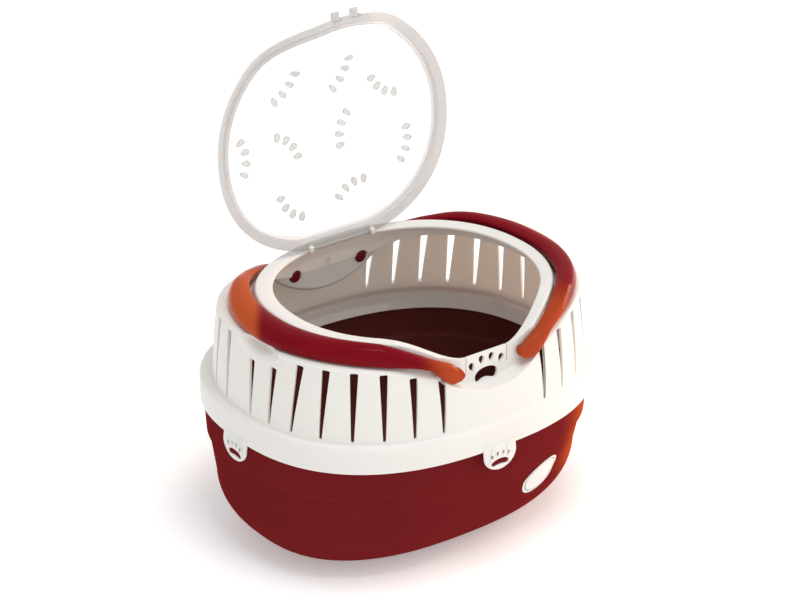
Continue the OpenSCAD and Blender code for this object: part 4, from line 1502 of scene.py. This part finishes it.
@dataclass(frozen=True)
class SoftBox:
    """Square soft light that points at the keeper."""

    name: str
    azimuth: float
    elevation: float
    distance: float
    size: float
    watts: float
    colour: str = "#ffffff"

    def build(self, aim: Vector) -> bpy.types.Object:
        """Adds the light."""
        az, el = math.radians(self.azimuth), math.radians(self.elevation)
        way = Vector((math.sin(az) * math.cos(el), -math.cos(az) * math.cos(el), math.sin(el)))
        data = bpy.data.lights.new(self.name, "AREA")
        data.size, data.energy, data.color = self.size, self.watts, linear(self.colour)[:3]
        lamp = bpy.data.objects.new(self.name, data)
        lamp.location = aim + way * self.distance
        lamp.rotation_euler = way.to_track_quat("Z", "Y").to_euler()
        bpy.context.scene.collection.objects.link(lamp)
        return lamp


@dataclass
class Studio:
    """White floor, soft light and the camera of the photograph."""

    azimuth: float = -36.68
    elevation: float = 26.0
    focal_pixels: float = 2884.9
    shift_right_mm: float = 2.68
    aim_height_mm: float = 176.10
    distance_mm: float = 2200.0
    image_width: int = 800
    sensor_mm: float = 36.0
    sky: float = 0.55
    floor_glow: float = 0.3
    lights: tuple[SoftBox, ...] = (
        SoftBox("key_softbox", -15.0, 74.0, 2.0, 0.8, 15.0),
        SoftBox("fill_softbox", 25.0, 35.0, 2.4, 1.6, 6.0),
        SoftBox("rim_softbox", 84.0, 10.0, 1.8, 0.8, 22.0, "#ffd2b0"),
    )

    def camera(self) -> bpy.types.Object:
        """Adds the camera, placed by the fit to the photograph."""
        az, el = math.radians(self.azimuth), math.radians(self.elevation)
        back = Vector((math.sin(az) * math.cos(el), -math.cos(az) * math.cos(el), math.sin(el)))
        right = Vector((math.cos(az), math.sin(az), 0.0))
        eye = right * self.shift_right_mm + Vector((0, 0, self.aim_height_mm)) + back * self.distance_mm
        data = bpy.data.cameras.new("camera")
        data.sensor_width = self.sensor_mm
        data.lens = self.focal_pixels / self.image_width * self.sensor_mm
        data.clip_start, data.clip_end = 0.05, 50.0
        camera = bpy.data.objects.new("camera", data)
        turn = Matrix((right, back.cross(right), back)).transposed().to_4x4()
        camera.matrix_world = Matrix.Translation(eye * MM) @ turn
        bpy.context.scene.collection.objects.link(camera)
        bpy.context.scene.camera = camera
        return camera

    def floor(self) -> bpy.types.Object:
        """Adds the pale floor."""
        side = 6000.0
        corners = np.array([[-side, -side, 0], [side, -side, 0], [side, side, 0], [-side, side, 0]])
        floor = new_object("studio_floor", corners, [[0, 1, 2, 3]])
        material, tree = blank_material("paper_white_backdrop")
        surface = add_node(tree, "ShaderNodeBsdfPrincipled", {
            "Base Color": linear("#fbfbfb"), "Roughness": 0.9, "Specular IOR Level": 0.1,
            "Emission Color": linear("#ffffff"), "Emission Strength": self.floor_glow})
        add_node(tree, "ShaderNodeOutputMaterial", {"Surface": surface.outputs["BSDF"]})
        dress(floor, material)
        return floor

    def build(self) -> None:
        """Adds camera, floor, sky and lights."""
        self.camera()
        self.floor()
        world = bpy.data.worlds.new("studio_sky")
        world.use_nodes = True
        world.node_tree.nodes.clear()
        sky = add_node(world.node_tree, "ShaderNodeBackground", {
            "Color": linear("#ffffff"), "Strength": self.sky})
        add_node(world.node_tree, "ShaderNodeOutputWorld", {"Surface": sky.outputs["Background"]})
        bpy.context.scene.world = world
        bpy.context.scene.view_settings.view_transform = "Standard"
        for light in self.lights:
            light.build(Vector((0, 0, 0.15)))


def report(name: str, step: Callable[[], object]) -> object:
    """Runs one building step and logs it."""
    result = step()
    log.info("built %s", name)
    return result


def main() -> None:
    """Builds the studio and every piece of the keeper in order."""
    logging.basicConfig(level=logging.INFO, format="%(name)s: %(message)s")
    report("studio", Studio().build)
    tub = Tub()
    report("tub", tub.build)
    report("name label", NameLabel(tub).build)
    shell = UpperShell()
    _, stock = report("upper shell", shell.build)
    report("latch tongue", LatchTongue(stock, shell.latch_pad()).build)
    for side in Side:
        report(f"{side.name.lower()} clip", Clip(side).build)
    for side in (-1, 1):
        handle = Handle(side)
        report(f"{handle.name} handle", handle.build)
        report(f"{handle.name} pivot pins", handle.build_pins)
    report("lid", Lid().build)


if __name__ == "__main__":
    main()
